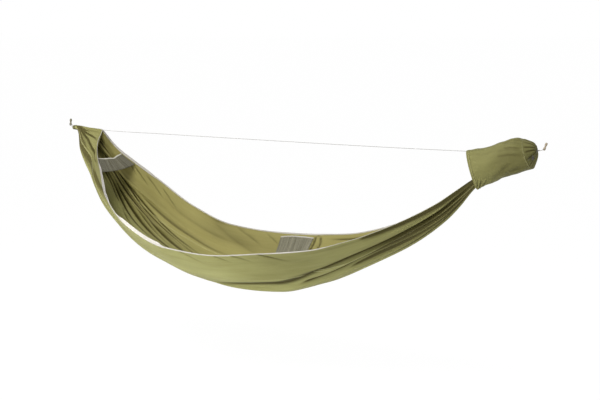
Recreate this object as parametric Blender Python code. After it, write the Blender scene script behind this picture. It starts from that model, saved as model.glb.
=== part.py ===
# A gathered-end camping hammock, hung between its two toggles.
# +X runs from the head toggle to the foot toggle, +Z is up, and the origin is the head toggle's pivot.
# The near side is at -Y. All sizes are in metres.

import math

import bmesh
import bpy
import numpy as np
from mathutils import Matrix, Vector

GAP = 0.0003  # clearance between pieces that touch
SEAT = 0.0006  # clearance between a piece and a curved wall that it lies on

# Suspension
HANG_SPAN = 2.662  # between the two toggle pivots
CHORD_DROP = 0.015  # the chord through both gathers hangs this far below the head pivot
FOOT_PIVOT_RISE = 0.008  # the foot pivot's height above the chord
HEAD_REACH = 0.018  # from the head pivot to the head channel
FOOT_REACH = 0.062  # from the foot pivot to the foot channel, through the sack's end
LOOP_CORD_RADIUS = 0.00125
LOOP_CLOSES = 0.0172  # from the pivot to where the loop's strands come together on the chord
STRAND_SPACING = 0.0031  # between the two strands of a loop inside its channel
STRAND_TURNS = 11.0  # turns per metre of the strands round each other, ahead of the channel
KNOT_RADIUS = 0.0052
KNOT_LENGTH = 0.0100

# Toggle, turned with two lobes
TOGGLE_LENGTH = 0.038
TOGGLE_RADIUS = 0.0061
TOGGLE_WAIST_RADIUS = 0.0037
TOGGLE_END_RADIUS = 0.0036
TOGGLE_BELOW_PIVOT = 0.0065  # from the pivot hole to the toggle's lower end
TOGGLE_HOLE_CLEARANCE = 0.0005
HEAD_TOGGLE_LEAN = 6.0  # degrees towards +X as it hangs
FOOT_TOGGLE_LEAN = 20.0

# Gathered ends
CHANNEL_LENGTH = 0.014
CHANNEL_RADIUS = 0.0122
CHANNEL_PLEATS = 10
CHANNEL_PLEAT_DEPTH = 0.0013
BORE_CLEARANCE = 0.0004
GATHER_RADIUS = 0.0105  # middle of the gathered cloth
COLLAR_LENGTH = 0.008  # the gathered cloth runs straight for this far before it fans out
EDGE_GAP = 0.003  # between the two edges where they close on top

# Bed cloth
CLOTH = 0.0016
SIDE_PANEL_WIDTH = 0.275
CENTRE_PANEL_WIDTH = 0.550
BED_ROWS = 30
ROWS_NEAR_ENDS = 0.55  # how strongly the rows crowd towards both ends, from 0 to 1
CROSS_POINTS = 241  # points on a cross line from which its length is measured
SIDE_COLUMNS = 9
CENTRE_COLUMNS = 20
PLEATS_ACROSS = 8  # lengthwise pleats over the whole width
PLEAT_SHARE = 0.16  # half a pleat's depth as a share of its width, where fully gathered
SLACK_SHARE = 0.06  # the part of that depth left in the smooth middle of the bed
PLEATS_OPEN = (0.07, 0.30)  # cross lengths between which the pleats open out of the bundle
PLEATS_START = (0.03, 0.22)  # shares of the width, in from each edge, over which they deepen
LOW_BELLY = 1.0  # how far the belly sits below the middle of the drop
LOW_FROM = 0.04  # share of the length by which it has come down, after the head collar
LOW_TO = 0.96  # and from which it rises again, before the foot collar
HEAD_FAN = (0.10, 0.40)  # shares of the length over which the head's pleats die out
FOOT_FAN = (0.55, 0.86)  # and over which the foot's deepen
SEAM_GROOVE = 0.011  # depth of the crease under the near seam
CREASE_STARTS = (0.40, 0.50)  # shares of the length between which it deepens
CREASE_ENDS = (0.86, 0.92)  # and between which it dies out
CREASE_INSIDE = 0.029  # its middle and half its breadth, in from the seam, as shares of the width
CREASE_BREADTH = 0.018

# The bed as it hangs, at stations from head to foot, for the part between the two collars.
# Each row: share of the chord, half width and drop of the edges; share of the chord and drop
# of the keel; and belly, which swells the sides out past a plain parabola.
BED_STATIONS = [
    (0.0355, 0.0018, -0.003, 0.0190, 0.135, 0.036),
    (0.0680, 0.0030, 0.005, 0.0420, 0.255, 0.051),
    (0.0719, 0.0620, 0.064, 0.0655, 0.340, 0.054),
    (0.0806, 0.1040, 0.115, 0.0847, 0.420, 0.048),
    (0.1048, 0.1780, 0.195, 0.1138, 0.509, 0.025),
    (0.1471, 0.2950, 0.320, 0.1601, 0.604, 0.0),
    (0.2098, 0.3560, 0.450, 0.2308, 0.690, 0.0),
    (0.3038, 0.3780, 0.544, 0.3291, 0.768, 0.0),
    (0.4017, 0.3750, 0.565, 0.4225, 0.793, 0.0),
    (0.4996, 0.3150, 0.549, 0.5129, 0.789, 0.0),
    (0.5975, 0.2620, 0.521, 0.5954, 0.735, 0.0),
    (0.6758, 0.1900, 0.468, 0.6779, 0.637, 0.0),
    (0.7542, 0.1250, 0.386, 0.7643, 0.521, 0.0),
    (0.8325, 0.0680, 0.275, 0.8428, 0.372, 0.008),
    (0.8653, 0.0300, 0.211, 0.8711, 0.297, 0.008),
    (0.8912, 0.0070, 0.160, 0.9030, 0.196, 0.008),
    (0.9429, 0.0018, 0.078, 0.9504, 0.114, 0.013),
]

# Edge binding
BINDING_WIDTH = 0.011
BINDING_THICKNESS = 0.0020

# Ridgeline: shares of the chord and heights above it, pulled down by the sack's mouth
RIDGE_RADIUS = 0.0011
RIDGE_KNOT_RADIUS = 0.0036
RIDGE_KNOT_LENGTH = 0.0100
RIDGE_ROUTE = [
    (0.0422, -0.0045),
    (0.0739, -0.0080),
    (0.2223, -0.0125),
    (0.3966, -0.0165),
    (0.5748, -0.0200),
    (0.7315, -0.0220),
    (0.8787, -0.0212),
    (0.8928, -0.0212),
    (0.9390, -0.0120),
]
RIDGE_POINTS = 40

# Head pocket, a mesh strip from edge to edge
HEAD_POCKET_FROM = 0.1320  # shares of the bed's length at its hem and at its lower edge
HEAD_POCKET_TO = 0.1600
HEAD_POCKET_INSET = 0.022  # its sides lie on the side panels, this share of the width from the edges
HEAD_POCKET_SAG = 0.012
MESH = 0.0012
HEM_WIDTH = 0.007
HEM_THICKNESS = 0.0024

# Wall pocket, on the inside of the far panel
WALL_POCKET_FROM = 0.4610
WALL_POCKET_TO = 0.5315
WALL_POCKET_MOUTH = 0.966  # shares of the bed's width at its mouth and at its floor
WALL_POCKET_FLOOR = 0.800
WALL_POCKET_BELLY = 0.018

# Sack. Each ring: share of the chord and height above it, for its top and for its bottom, and
# its half width.
SACK_WALL = 0.0014
SACK_SIDES = 24
SACK_RINGS = [
    ((0.8807, -0.0185), (0.9034, -0.2035), 0.038),
    ((0.8967, -0.0090), (0.9159, -0.1820), 0.046),
    ((0.9187, 0.0020), (0.9343, -0.1600), 0.056),
    ((0.9519, 0.0340), (0.9598, -0.1320), 0.068),
    ((0.9798, 0.0575), (0.9852, -0.1100), 0.072),
    ((0.9923, 0.0480), (1.0029, -0.0920), 0.069),
]
SACK_STEPS = 9
HEM_DEPTH = 0.014
HEM_WALL = 0.0024
END_REACH = 0.026  # from the foot channel to the drawn end's outermost point
END_ROUNDNESS = 0.8  # power of the sine and cosine that the drawn end's profile follows
END_PLEATS = 12
END_PLEAT_DEPTH = 0.0032
DRAWN_HOLE_RADIUS = 0.0075
END_STEPS = 5

# Drawcord and its lock
DRAWCORD_RADIUS = 0.0008
TAIL_SPACING = 0.0020  # between the two tails, one above the other
LOCK_HEIGHT = 0.018
LOCK_RADIUS = 0.0052
LOCK_FLOOR = 0.002
LOCK_BORE_RADIUS = 0.0037
LOCK_HOLE_HEIGHT = 0.0052
LOCK_HOLE_WIDTH = 0.0027
LOCK_CORD_HEIGHT = 0.0110  # from the barrel's foot to the middle of the two tails
PLUNGER_CLEARANCE = 0.00025
PLUNGER_ABOVE = 0.0045  # how far the plunger stands out of the barrel
PLUNGER_TRAVEL = 0.003
SPRING_WIRE_RADIUS = 0.00032
SPRING_TURNS = 4
LOCK_PLACE = (-0.002, -0.060, -0.040)  # from the middle of the drawn hole, along X, Y and Z
LOCK_TURN = 28.0  # degrees between the tails and -Y, seen from above
TAIL_REACH = 0.024  # straight run of the tails past the lock
TAIL_DROP = 0.012  # and how far their ends hang

CHORD_Z = -CHORD_DROP
HEAD_CHANNEL_X = HEAD_REACH
FOOT_CHANNEL_X = HANG_SPAN - FOOT_REACH
BED_START = HEAD_CHANNEL_X + CHANNEL_LENGTH + GAP
BED_END = FOOT_CHANNEL_X - CHANNEL_LENGTH - GAP
CHORD = BED_END - BED_START
END_PLANE = FOOT_CHANNEL_X + END_REACH
BED_WIDTH = 2 * SIDE_PANEL_WIDTH + CENTRE_PANEL_WIDTH
SIDE_SHARE = SIDE_PANEL_WIDTH / BED_WIDTH
BORE_RADIUS = STRAND_SPACING / 2 + LOOP_CORD_RADIUS + BORE_CLEARANCE
NUDGE = 1e-4  # step for slopes, as a share of the bed


def clear_scene():
    for item in list(bpy.data.objects):
        bpy.data.objects.remove(item, do_unlink=True)


def material(name, colour, roughness, metallic=0.0):
    made = bpy.data.materials.get(name) or bpy.data.materials.new(name)
    made.use_nodes = True
    shader = made.node_tree.nodes["Principled BSDF"]
    shader.inputs["Base Color"].default_value = (*colour, 1.0)
    shader.inputs["Roughness"].default_value = roughness
    shader.inputs["Metallic"].default_value = metallic
    return made


def olive_cloth():
    return material("olive_cloth", (0.33, 0.31, 0.12), 0.55)


def sack_cloth():
    return material("sack_cloth", (0.19, 0.19, 0.07), 0.6)


def grey_tape():
    return material("grey_tape", (0.52, 0.49, 0.44), 0.6)


def grey_mesh():
    return material("grey_mesh", (0.23, 0.22, 0.17), 0.8)


def pale_elastic():
    return material("pale_elastic", (0.66, 0.63, 0.52), 0.7)


def grey_cord():
    return material("grey_cord", (0.45, 0.44, 0.40), 0.7)


def toggle_wood(dark):
    if dark:
        return material("dark_toggle", (0.16, 0.14, 0.08), 0.45)
    return material("tan_toggle", (0.45, 0.30, 0.14), 0.45)


def black_plastic():
    return material("black_plastic", (0.03, 0.03, 0.02), 0.4)


def spring_steel():
    return material("spring_steel", (0.6, 0.6, 0.6), 0.3, 1.0)


def link(name, mesh, paint, parent=None, place=None):
    """Puts a mesh into the scene, with its origin at place, under a parent empty."""
    item = bpy.data.objects.new(name, mesh)
    bpy.context.collection.objects.link(item)
    item.data.materials.append(paint)
    if place is not None:
        item.location = place
    if parent is not None:
        item.parent = parent
        item.matrix_parent_inverse = Matrix.Translation(parent.location).inverted()
    return item


def empty(name, place):
    item = bpy.data.objects.new(name, None)
    item.location = place
    bpy.context.collection.objects.link(item)
    return item


def mesh_of(name, points, faces, smooth=True):
    """A closed mesh from points and faces, its normals pointing out."""
    mesh = bpy.data.meshes.new(name)
    mesh.from_pydata([tuple(p) for p in points], [], faces)
    work = bmesh.new()
    work.from_mesh(mesh)
    bmesh.ops.triangulate(work, faces=work.faces)
    bmesh.ops.recalc_face_normals(work, faces=work.faces)
    work.to_mesh(mesh)
    work.free()
    if smooth:
        mesh.shade_smooth()
        mesh.set_sharp_from_angle(angle=math.radians(40))
    return mesh


def grid_faces(rows, columns, start, cyclic):
    """Quads between neighbouring points of a grid whose first point has the index start."""
    faces = []
    for i in range(rows - 1):
        for j in range(columns if cyclic else columns - 1):
            k = (j + 1) % columns
            a = start + i * columns
            b = a + columns
            faces.append((a + j, a + k, b + k, b + j))
    return faces


def sheet_solid(name, middle, normals, thickness, cyclic=False):
    """A closed solid: a grid of points thickened by half the thickness to each side."""
    rows, columns = middle.shape[:2]
    count = rows * columns
    outer = (middle + normals * thickness / 2).reshape(-1, 3)
    inner = (middle - normals * thickness / 2).reshape(-1, 3)
    faces = grid_faces(rows, columns, 0, cyclic)
    faces += [tuple(reversed(f)) for f in grid_faces(rows, columns, count, cyclic)]
    for j in range(columns if cyclic else columns - 1):
        k = (j + 1) % columns
        last = (rows - 1) * columns
        faces.append((j, count + j, count + k, k))
        faces.append((last + j, last + k, count + last + k, count + last + j))
    if not cyclic:
        for i in range(rows - 1):
            a = i * columns
            b = a + columns
            faces.append((a, b, count + b, count + a))
            a += columns - 1
            b += columns - 1
            faces.append((a, count + a, count + b, b))
    return mesh_of(name, np.concatenate([outer, inner]), faces)


def grid_normals(points, cyclic=False):
    """Unit normals of a grid of points, from the slopes along its rows and columns."""
    down = np.gradient(points, axis=0)
    if cyclic:
        over = np.roll(points, -1, axis=1) - np.roll(points, 1, axis=1)
    else:
        over = np.gradient(points, axis=1)
    normals = np.cross(down, over)
    return normals / np.linalg.norm(normals, axis=2, keepdims=True)


def revolved(name, profile, sides, smooth=True):
    """A solid turned about local Z from (radius, height) pairs that run from pole to pole."""
    points = []
    faces = []
    for radius, height in profile:
        for k in range(sides):
            turn = 2 * math.pi * k / sides
            points.append((radius * math.cos(turn), radius * math.sin(turn), height))
    faces += grid_faces(len(profile), sides, 0, True)
    faces.append(tuple(range(sides)))
    faces.append(tuple(reversed(range((len(profile) - 1) * sides, len(profile) * sides))))
    return mesh_of(name, points, faces, smooth)


def bored(name, outer, bore_radius, sides):
    """A ring turned about local Z: outer is (radius, height) pairs, round a plain bore."""
    profile = [(bore_radius, outer[0][1]), *outer, (bore_radius, outer[-1][1])]
    points = []
    for radius, height in profile:
        for k in range(sides):
            turn = 2 * math.pi * k / sides
            points.append((radius * math.cos(turn), radius * math.sin(turn), height))
    count = len(profile)
    faces = grid_faces(count, sides, 0, True)
    last = (count - 1) * sides
    for k in range(sides):
        n = (k + 1) % sides
        faces.append((last + k, last + n, n, k))
    return mesh_of(name, points, faces)


def rounded_path(points, count):
    """Evenly spaced points on a smooth curve through chosen points."""
    points = np.array(points, float)
    knots = np.concatenate([[0], np.cumsum(np.linalg.norm(np.diff(points, axis=0), axis=1))])
    slopes = np.gradient(points, knots, axis=0)
    fine = hermite(knots, points, slopes, np.linspace(0, knots[-1], count * 12))
    length = np.concatenate([[0], np.cumsum(np.linalg.norm(np.diff(fine, axis=0), axis=1))])
    at = np.linspace(0, length[-1], count)
    return np.stack([np.interp(at, length, fine[:, k]) for k in range(3)], axis=1)


def hermite(knots, values, slopes, at):
    """Cubic pieces through values at the knots, with the given slopes."""
    i = np.clip(np.searchsorted(knots, at, side="right") - 1, 0, len(knots) - 2)
    step = (knots[i + 1] - knots[i])[:, None]
    t = (at - knots[i])[:, None] / step
    return (
        (2 * t**3 - 3 * t**2 + 1) * values[i]
        + (t**3 - 2 * t**2 + t) * step * slopes[i]
        + (3 * t**2 - 2 * t**3) * values[i + 1]
        + (t**3 - t**2) * step * slopes[i + 1]
    )


def cord(name, points, radius, paint, sides_step=2, parent=None):
    """A tube along points, as a curve with filled caps."""
    curve = bpy.data.curves.new(name, "CURVE")
    curve.dimensions = "3D"
    curve.bevel_depth = radius
    curve.bevel_resolution = sides_step
    curve.use_fill_caps = True
    curve.resolution_u = 1
    spline = curve.splines.new("POLY")
    spline.points.add(len(points) - 1)
    for slot, p in zip(spline.points, points):
        slot.co = (*p, 1.0)
    item = bpy.data.objects.new(name, curve)
    bpy.context.collection.objects.link(item)
    curve.materials.append(paint)
    if parent is not None:
        item.parent = parent
        item.matrix_parent_inverse = Matrix.Translation(parent.location).inverted()
    return item


def tube_mesh(name, points, radius, sides):
    """A closed tube mesh along points, its rings carried along without twist."""
    points = np.array(points, float)
    along = np.gradient(points, axis=0)
    along /= np.linalg.norm(along, axis=1, keepdims=True)
    side = np.cross(along[0], [0.0, 0.0, 1.0])
    side /= np.linalg.norm(side)
    rings = []
    for p, t in zip(points, along):
        side = side - t * side.dot(t)
        side /= np.linalg.norm(side)
        up = np.cross(t, side)
        turns = [2 * math.pi * k / sides for k in range(sides)]
        rings += [p + radius * (side * math.cos(a) + up * math.sin(a)) for a in turns]
    faces = grid_faces(len(points), sides, 0, True)
    faces.append(tuple(range(sides)))
    faces.append(tuple(reversed(range((len(points) - 1) * sides, len(points) * sides))))
    return mesh_of(name, rings, faces)


def cutter(name, mesh, place=None, turn=None):
    """A hidden shape for a Boolean."""
    item = bpy.data.objects.new(name, mesh)
    bpy.context.collection.objects.link(item)
    if place is not None:
        item.location = place
    if turn is not None:
        item.rotation_euler = turn
    item.hide_render = True
    item.display_type = "WIRE"
    return item


def combine(item, other, operation):
    step = item.modifiers.new(operation.lower(), "BOOLEAN")
    step.operation = operation
    step.object = other
    step.solver = "EXACT"


# The bed's surface

def station_table():
    """All stations: the written ones between a straight collar at each gather."""
    ring = (EDGE_GAP / 2, -GATHER_RADIUS)
    belly = GATHER_RADIUS - EDGE_GAP / 2 / math.sqrt(2)
    collar = COLLAR_LENGTH / CHORD
    rows = [
        (0.0, *ring, 0.0, GATHER_RADIUS, belly),
        (collar, *ring, collar, GATHER_RADIUS, belly),
        *BED_STATIONS,
        (1 - collar, *ring, 1 - collar, GATHER_RADIUS, belly),
        (1.0, *ring, 1.0, GATHER_RADIUS, belly),
    ]
    table = np.array(rows)
    table[:, [0, 3]] = BED_START + CHORD * table[:, [0, 3]]
    table[:, [2, 4]] = CHORD_Z - table[:, [2, 4]]
    return table


def steady_slopes(knots, values):
    """Slopes at the knots that never overshoot: harmonic means of the slopes on either side."""
    rise = np.diff(values, axis=0) / np.diff(knots)[:, None]
    slopes = np.zeros_like(values)
    slopes[0], slopes[-1] = rise[0], rise[-1]
    before, after = rise[:-1], rise[1:]
    same = before * after > 0
    total = np.where(same, before + after, 1.0)
    slopes[1:-1] = np.where(same, 2 * before * after / total, 0.0)
    return slopes


STATIONS = station_table()
STEPS = (
    np.linalg.norm(np.diff(STATIONS[:, [0, 2]], axis=0), axis=1)
    + np.linalg.norm(np.diff(STATIONS[:, [3, 4]], axis=0), axis=1)
) / 2
KNOTS = np.concatenate([[0], np.cumsum(STEPS)]) / STEPS.sum()
SLOPES = steady_slopes(KNOTS, STATIONS)


def ramp(values, low, high):
    """0 below low, 1 above high, smooth between."""
    t = np.clip((values - low) / (high - low), 0, 1)
    return t * t * (3 - 2 * t)


def smooth_bed(along, across):
    """Points of the unfolded bed, and the length of each cross line.

    A cross line runs from the near edge under the keel to the far edge. With a from 0 to pi,
    Y = -(half width * cos a + belly * sin 2a * (1 - low * cos 2a)), and the line drops from the
    edges to the keel with sin a squared. Away from the round collars, low moves the belly down.
    The line is then spaced by its length, so a share of it is a share of the cloth.
    """
    row = hermite(KNOTS, STATIONS, SLOPES, along)
    edge_x, width, edge_z, keel_x, keel_z, belly = (row[:, [k]] for k in range(6))
    low = ramp(along, KNOTS[1], LOW_FROM) * (1 - ramp(along, LOW_TO, KNOTS[-2]))
    low = LOW_BELLY * low[:, None]
    a = np.linspace(0, math.pi, CROSS_POINTS)[None]
    drop = np.sin(a) ** 2
    swell = np.sin(2 * a) * (1 - low * np.cos(2 * a))
    line = np.stack(
        [
            edge_x + (keel_x - edge_x) * drop,
            -(width * np.cos(a) + belly * swell),
            edge_z + (keel_z - edge_z) * drop,
        ],
        axis=-1,
    )
    step = np.linalg.norm(np.diff(line, axis=1), axis=2)
    length = np.concatenate([np.zeros((len(line), 1)), np.cumsum(step, axis=1)], axis=1)
    found = np.empty((*across.shape, 3))
    for i in range(len(line)):
        for k in range(3):
            found[i, :, k] = np.interp(across[i] * length[i, -1], length[i], line[i, :, k])
    return found, length[:, -1]


def fold_height(along, across, length):
    """How far the cloth stands out from the smooth bed: pleats that fan out of both gathers,
    and the crease under the near seam towards the foot."""
    along = along[:, None]
    head = 1 - ramp(along, *HEAD_FAN)
    foot = ramp(along, *FOOT_FAN)
    gathered = SLACK_SHARE + (1 - SLACK_SHARE) * np.maximum(head, foot)
    gathered = gathered * ramp(length[:, None], *PLEATS_OPEN)
    fade = ramp(np.minimum(across, 1 - across), *PLEATS_START)
    width = length[:, None] / PLEATS_ACROSS
    wave = np.cos(2 * math.pi * PLEATS_ACROSS * across) - 1
    pleats = PLEAT_SHARE * width * gathered * fade * wave
    crease = ramp(along, *CREASE_STARTS) * (1 - ramp(along, *CREASE_ENDS))
    groove = np.exp(-(((across - SIDE_SHARE - CREASE_INSIDE) / CREASE_BREADTH) ** 2))
    return pleats - SEAM_GROOVE * crease * groove


def slope_normals(surface, along, across):
    """Unit normals of a surface that is a function of shares along and across; they point out."""
    before, after = np.clip(along - NUDGE, 0, 1), np.clip(along + NUDGE, 0, 1)
    left, right = np.clip(across - NUDGE, 0, 1), np.clip(across + NUDGE, 0, 1)
    down = surface(after, across) - surface(before, across)
    over = surface(along, right) - surface(along, left)
    normals = np.cross(over, down)
    return normals / np.linalg.norm(normals, axis=2, keepdims=True)


def folded_bed(along, across):
    flat, length = smooth_bed(along, across)
    normals = slope_normals(lambda a, c: smooth_bed(a, c)[0], along, across)
    return flat + normals * fold_height(along, across, length)[..., None]


def bed_rows():
    """Shares of the bed's length: both ends, and rows between the collars that lie closer
    together near them."""
    even = np.linspace(0, 1, BED_ROWS - 2)
    crowded = (1 - np.cos(math.pi * even)) / 2
    spaced = (1 - ROWS_NEAR_ENDS) * even + ROWS_NEAR_ENDS * crowded
    return np.concatenate([[0], KNOTS[1] + (KNOTS[-2] - KNOTS[1]) * spaced, [1]])


ROWS = bed_rows()
SIDE_POINTS = {}


def row_shares(first, last, columns):
    """Even shares of the bed's width in each row, short of the tape and of half a seam gap."""
    _, length = smooth_bed(ROWS, np.zeros((len(ROWS), 1)))
    seam = 0.5 * GAP / length[:, None]
    tape = (BINDING_WIDTH + GAP) / length[:, None]
    start = first + (seam if first > 0 else tape)
    end = last - (seam if last < 1 else tape)
    return start + (end - start) * np.linspace(0, 1, columns)[None]


def panel(name, first, last, columns, parent):
    """One sewn panel of the bed, between two shares of its width."""
    shares = row_shares(first, last, columns)
    points = folded_bed(ROWS, shares)
    normals = slope_normals(folded_bed, ROWS, shares)
    SIDE_POINTS[name] = (points, normals, shares)
    return link(name, sheet_solid(name, points, normals, CLOTH), olive_cloth(), parent)


def on_panel(name, along, across):
    """A point on a panel's facets and the normal there, by straight lines between its points."""
    points, normals, shares = SIDE_POINTS[name]
    i = int(np.clip(np.searchsorted(ROWS, along, side="right") - 1, 0, len(ROWS) - 2))
    u = (along - ROWS[i]) / (ROWS[i + 1] - ROWS[i])
    row = shares[i] * (1 - u) + shares[i + 1] * u
    j = int(np.clip(np.searchsorted(row, across, side="right") - 1, 0, len(row) - 2))
    v = (across - row[j]) / (row[j + 1] - row[j])

    def blend(grid):
        first = grid[i, j] * (1 - v) + grid[i, j + 1] * v
        second = grid[i + 1, j] * (1 - v) + grid[i + 1, j + 1] * v
        return first * (1 - u) + second * u

    normal = blend(normals)
    return blend(points), normal / np.linalg.norm(normal)


def binding(name, edge, parent):
    """Tape along one edge of the bed, from gather to gather. The edge is 0 or 1."""
    _, length = smooth_bed(ROWS, np.zeros((len(ROWS), 1)))
    width = BINDING_WIDTH / length[:, None]
    shares = np.concatenate([np.zeros_like(width), width], axis=1)
    if edge == 1:
        shares = 1 - shares[:, ::-1]
    points = folded_bed(ROWS, shares)
    mesh = sheet_solid(name, points, slope_normals(folded_bed, ROWS, shares), BINDING_THICKNESS)
    return link(name, mesh, grey_tape(), parent)


def pocket_row(along, thickness, columns):
    """Points across the hood, from side panel to side panel, that sag in the middle."""
    lift = CLOTH / 2 + SEAT + thickness / 2
    near, near_out = on_panel("near_panel", along, HEAD_POCKET_INSET)
    far, far_out = on_panel("far_panel", along, 1 - HEAD_POCKET_INSET)
    near = near - near_out * lift
    far = far - far_out * lift
    share = np.linspace(0, 1, columns)[:, None]
    sag = np.array([[0, 0, HEAD_POCKET_SAG]]) * 4 * share * (1 - share)
    return near * (1 - share) + far * share - sag


def head_pocket(parent):
    """A mesh strip between the side panels, with an elastic hem along its upper edge."""
    length = STEPS.sum()
    down = np.linspace(HEAD_POCKET_FROM, HEAD_POCKET_TO, 5)
    grid = np.array([pocket_row(along, MESH, 11) for along in down])
    mesh = sheet_solid("head_pocket_mesh", grid, grid_normals(grid), MESH)
    link("head_pocket_mesh", mesh, grey_mesh(), parent)
    low = HEAD_POCKET_FROM - 3 * GAP / length
    high = low - HEM_WIDTH / length
    hem = np.array([pocket_row(along, HEM_THICKNESS, 11) for along in (high, low)])
    mesh = sheet_solid("head_pocket_hem", hem, grid_normals(hem), HEM_THICKNESS)
    link("head_pocket_hem", mesh, pale_elastic(), parent)


def wall_pocket(parent):
    """A slack mesh patch on the far panel, open at its mouth just under the edge."""
    lift = CLOTH / 2 + 2 * SEAT + MESH / 2
    rows, columns = 7, 11
    grid = np.empty((rows, columns, 3))
    normals = np.empty((rows, columns, 3))
    for i, across in enumerate(np.linspace(WALL_POCKET_MOUTH, WALL_POCKET_FLOOR, rows)):
        for j, along in enumerate(np.linspace(WALL_POCKET_FROM, WALL_POCKET_TO, columns)):
            point, normal = on_panel("far_panel", along, across)
            depth = 1 - i / (rows - 1)
            slack = WALL_POCKET_BELLY * math.sin(math.pi * j / (columns - 1)) * depth**0.6
            grid[i, j] = point - normal * (lift + slack)
            normals[i, j] = normal
    mesh = sheet_solid("wall_pocket_mesh", grid, normals, MESH)
    link("wall_pocket_mesh", mesh, grey_mesh(), parent)
    up = grid[0] - grid[1]
    up /= np.linalg.norm(up, axis=1, keepdims=True)
    extra = HEM_THICKNESS / 2 - MESH / 2
    lifted = grid[0] - normals[0] * extra
    hem = np.stack([lifted + up * (GAP + HEM_WIDTH), lifted + up * GAP])
    hem_normals = np.repeat(normals[:1], 2, axis=0)
    mesh = sheet_solid("wall_pocket_hem", hem, hem_normals, HEM_THICKNESS)
    link("wall_pocket_hem", mesh, grey_tape(), parent)


# Suspension pieces

def channel(name, start, parent):
    """The puckered cloth channel that closes a gathered end, round the loop's strands."""
    sides = CHANNEL_PLEATS * 4
    rings = [(0.0, 0.80), (0.18, 0.97), (0.5, 1.0), (0.82, 0.97), (1.0, 0.86)]
    points = []
    for share, size in [(0.0, None), *rings, (1.0, None)]:
        for k in range(sides):
            turn = 2 * math.pi * k / sides
            if size is None:
                radius = BORE_RADIUS
            else:
                pleat = CHANNEL_PLEAT_DEPTH * (math.cos(CHANNEL_PLEATS * turn) - 1) / 2
                radius = CHANNEL_RADIUS * size + pleat
            points.append(
                (
                    start + share * CHANNEL_LENGTH,
                    radius * math.sin(turn),
                    CHORD_Z + radius * math.cos(turn),
                )
            )
    count = len(rings) + 2
    faces = grid_faces(count, sides, 0, True)
    last = (count - 1) * sides
    for k in range(sides):
        n = (k + 1) % sides
        faces.append((last + k, last + n, n, k))
    return link(name, mesh_of(name, points, faces), olive_cloth(), parent)


def whipping(name, middle, parent):
    """Four close turns of thin cord round the gathered cloth, as one ribbed ring."""
    turns = 4
    pitch = 0.0013
    inner = GATHER_RADIUS + CLOTH / 2 + SEAT
    outer = [(inner + 0.0004, -turns / 2 * pitch)]
    for k in range(turns):
        outer.append((inner + 0.0015, (k - turns / 2 + 0.5) * pitch))
        outer.append((inner + 0.0008, (k - turns / 2 + 1) * pitch))
    mesh = bored(name, outer, inner, 24)
    mesh.transform(Matrix.Translation((middle, 0, CHORD_Z)) @ Matrix.Rotation(math.pi / 2, 4, "Y"))
    return link(name, mesh, grey_cord(), parent)


def loop(name, pivot, inward, reach):
    """A cord loop: one U of cord through the toggle's hole, its two strands laid round each other
    and running through the channel to a stopper knot behind it. inward is +1 at the head, -1 at
    the foot. Half the U is given as distance inward, Y, height, and lift of the one strand over
    the other."""
    eye = TOGGLE_RADIUS + LOOP_CORD_RADIUS + 0.0010
    drop = pivot[2] - CHORD_Z
    strand = STRAND_SPACING / 2
    knot_start = reach + CHANNEL_LENGTH + GAP
    middle = knot_start + KNOT_LENGTH / 2
    half = [
        (0.0, 0.0, 0.0, 0.0),
        (0.0, 0.6 * eye, 0.0, 0.0),
        (0.0008, 0.92 * eye, 0.0, 0.0),
        (0.0035, eye, -0.0008, 0.0),
        (0.0070, 0.80 * eye, -0.40 * drop, 0.0),
        (0.0125, 0.42 * eye, -0.82 * drop, 0.0),
    ]
    for x in (*np.linspace(LOOP_CLOSES, reach, 7), (reach + middle) / 2, middle):
        turn = 2 * math.pi * STRAND_TURNS * (min(x, reach) - LOOP_CLOSES)
        half.append((x, strand * math.cos(turn), -drop, strand * math.sin(turn)))
    route = [(x, -y, z - lift) for x, y, z, lift in reversed(half)]
    route += [(x, y, z + lift) for x, y, z, lift in half[1:]]
    route = [(pivot[0] + inward * x, y, pivot[2] + z) for x, y, z in route]
    body = link(name, tube_mesh(name, rounded_path(route, 46), LOOP_CORD_RADIUS, 8), grey_cord())
    face = STRAND_SPACING / 2 + LOOP_CORD_RADIUS + SEAT
    profile = [
        (face, 0.0),
        (0.88 * KNOT_RADIUS, 0.12 * KNOT_LENGTH),
        (KNOT_RADIUS, 0.35 * KNOT_LENGTH),
        (0.88 * KNOT_RADIUS, 0.5 * KNOT_LENGTH),
        (KNOT_RADIUS, 0.65 * KNOT_LENGTH),
        (0.88 * KNOT_RADIUS, 0.88 * KNOT_LENGTH),
        (face, KNOT_LENGTH),
    ]
    knot = revolved(f"{name}_knot", profile, 16)
    place = Vector((pivot[0] + inward * knot_start, 0, CHORD_Z))
    turn = (0, inward * math.pi / 2, 0)
    combine(body, cutter(f"{name}_knot", knot, place, turn), "UNION")
    return body


def toggle(name, pivot, lean, dark):
    """A turned toggle of two lobes, drilled across its lower lobe for the loop."""
    low = -TOGGLE_BELOW_PIVOT
    lobe = TOGGLE_LENGTH / 2
    waist = low + lobe
    profile = [
        (TOGGLE_END_RADIUS, low),
        (0.86 * TOGGLE_RADIUS, low + 0.08 * lobe),
        (TOGGLE_RADIUS, low + 0.28 * lobe),
        (TOGGLE_RADIUS, low + 0.55 * lobe),
        (0.84 * TOGGLE_RADIUS, low + 0.78 * lobe),
        (TOGGLE_WAIST_RADIUS, waist),
    ]
    upper = [(r, 2 * waist - z) for r, z in reversed(profile[:-1])]
    mesh = revolved(name, profile + upper, 20)
    item = link(name, mesh, toggle_wood(dark), None, pivot)
    item.rotation_euler = (0, math.radians(lean), 0)
    hole = LOOP_CORD_RADIUS + TOGGLE_HOLE_CLEARANCE
    drill = revolved(f"{name}_drill", [(hole, -0.02), (hole, 0.02)], 14)
    combine(item, cutter(f"{name}_drill", drill, pivot, (math.pi / 2, 0, 0)), "DIFFERENCE")
    return item


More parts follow.
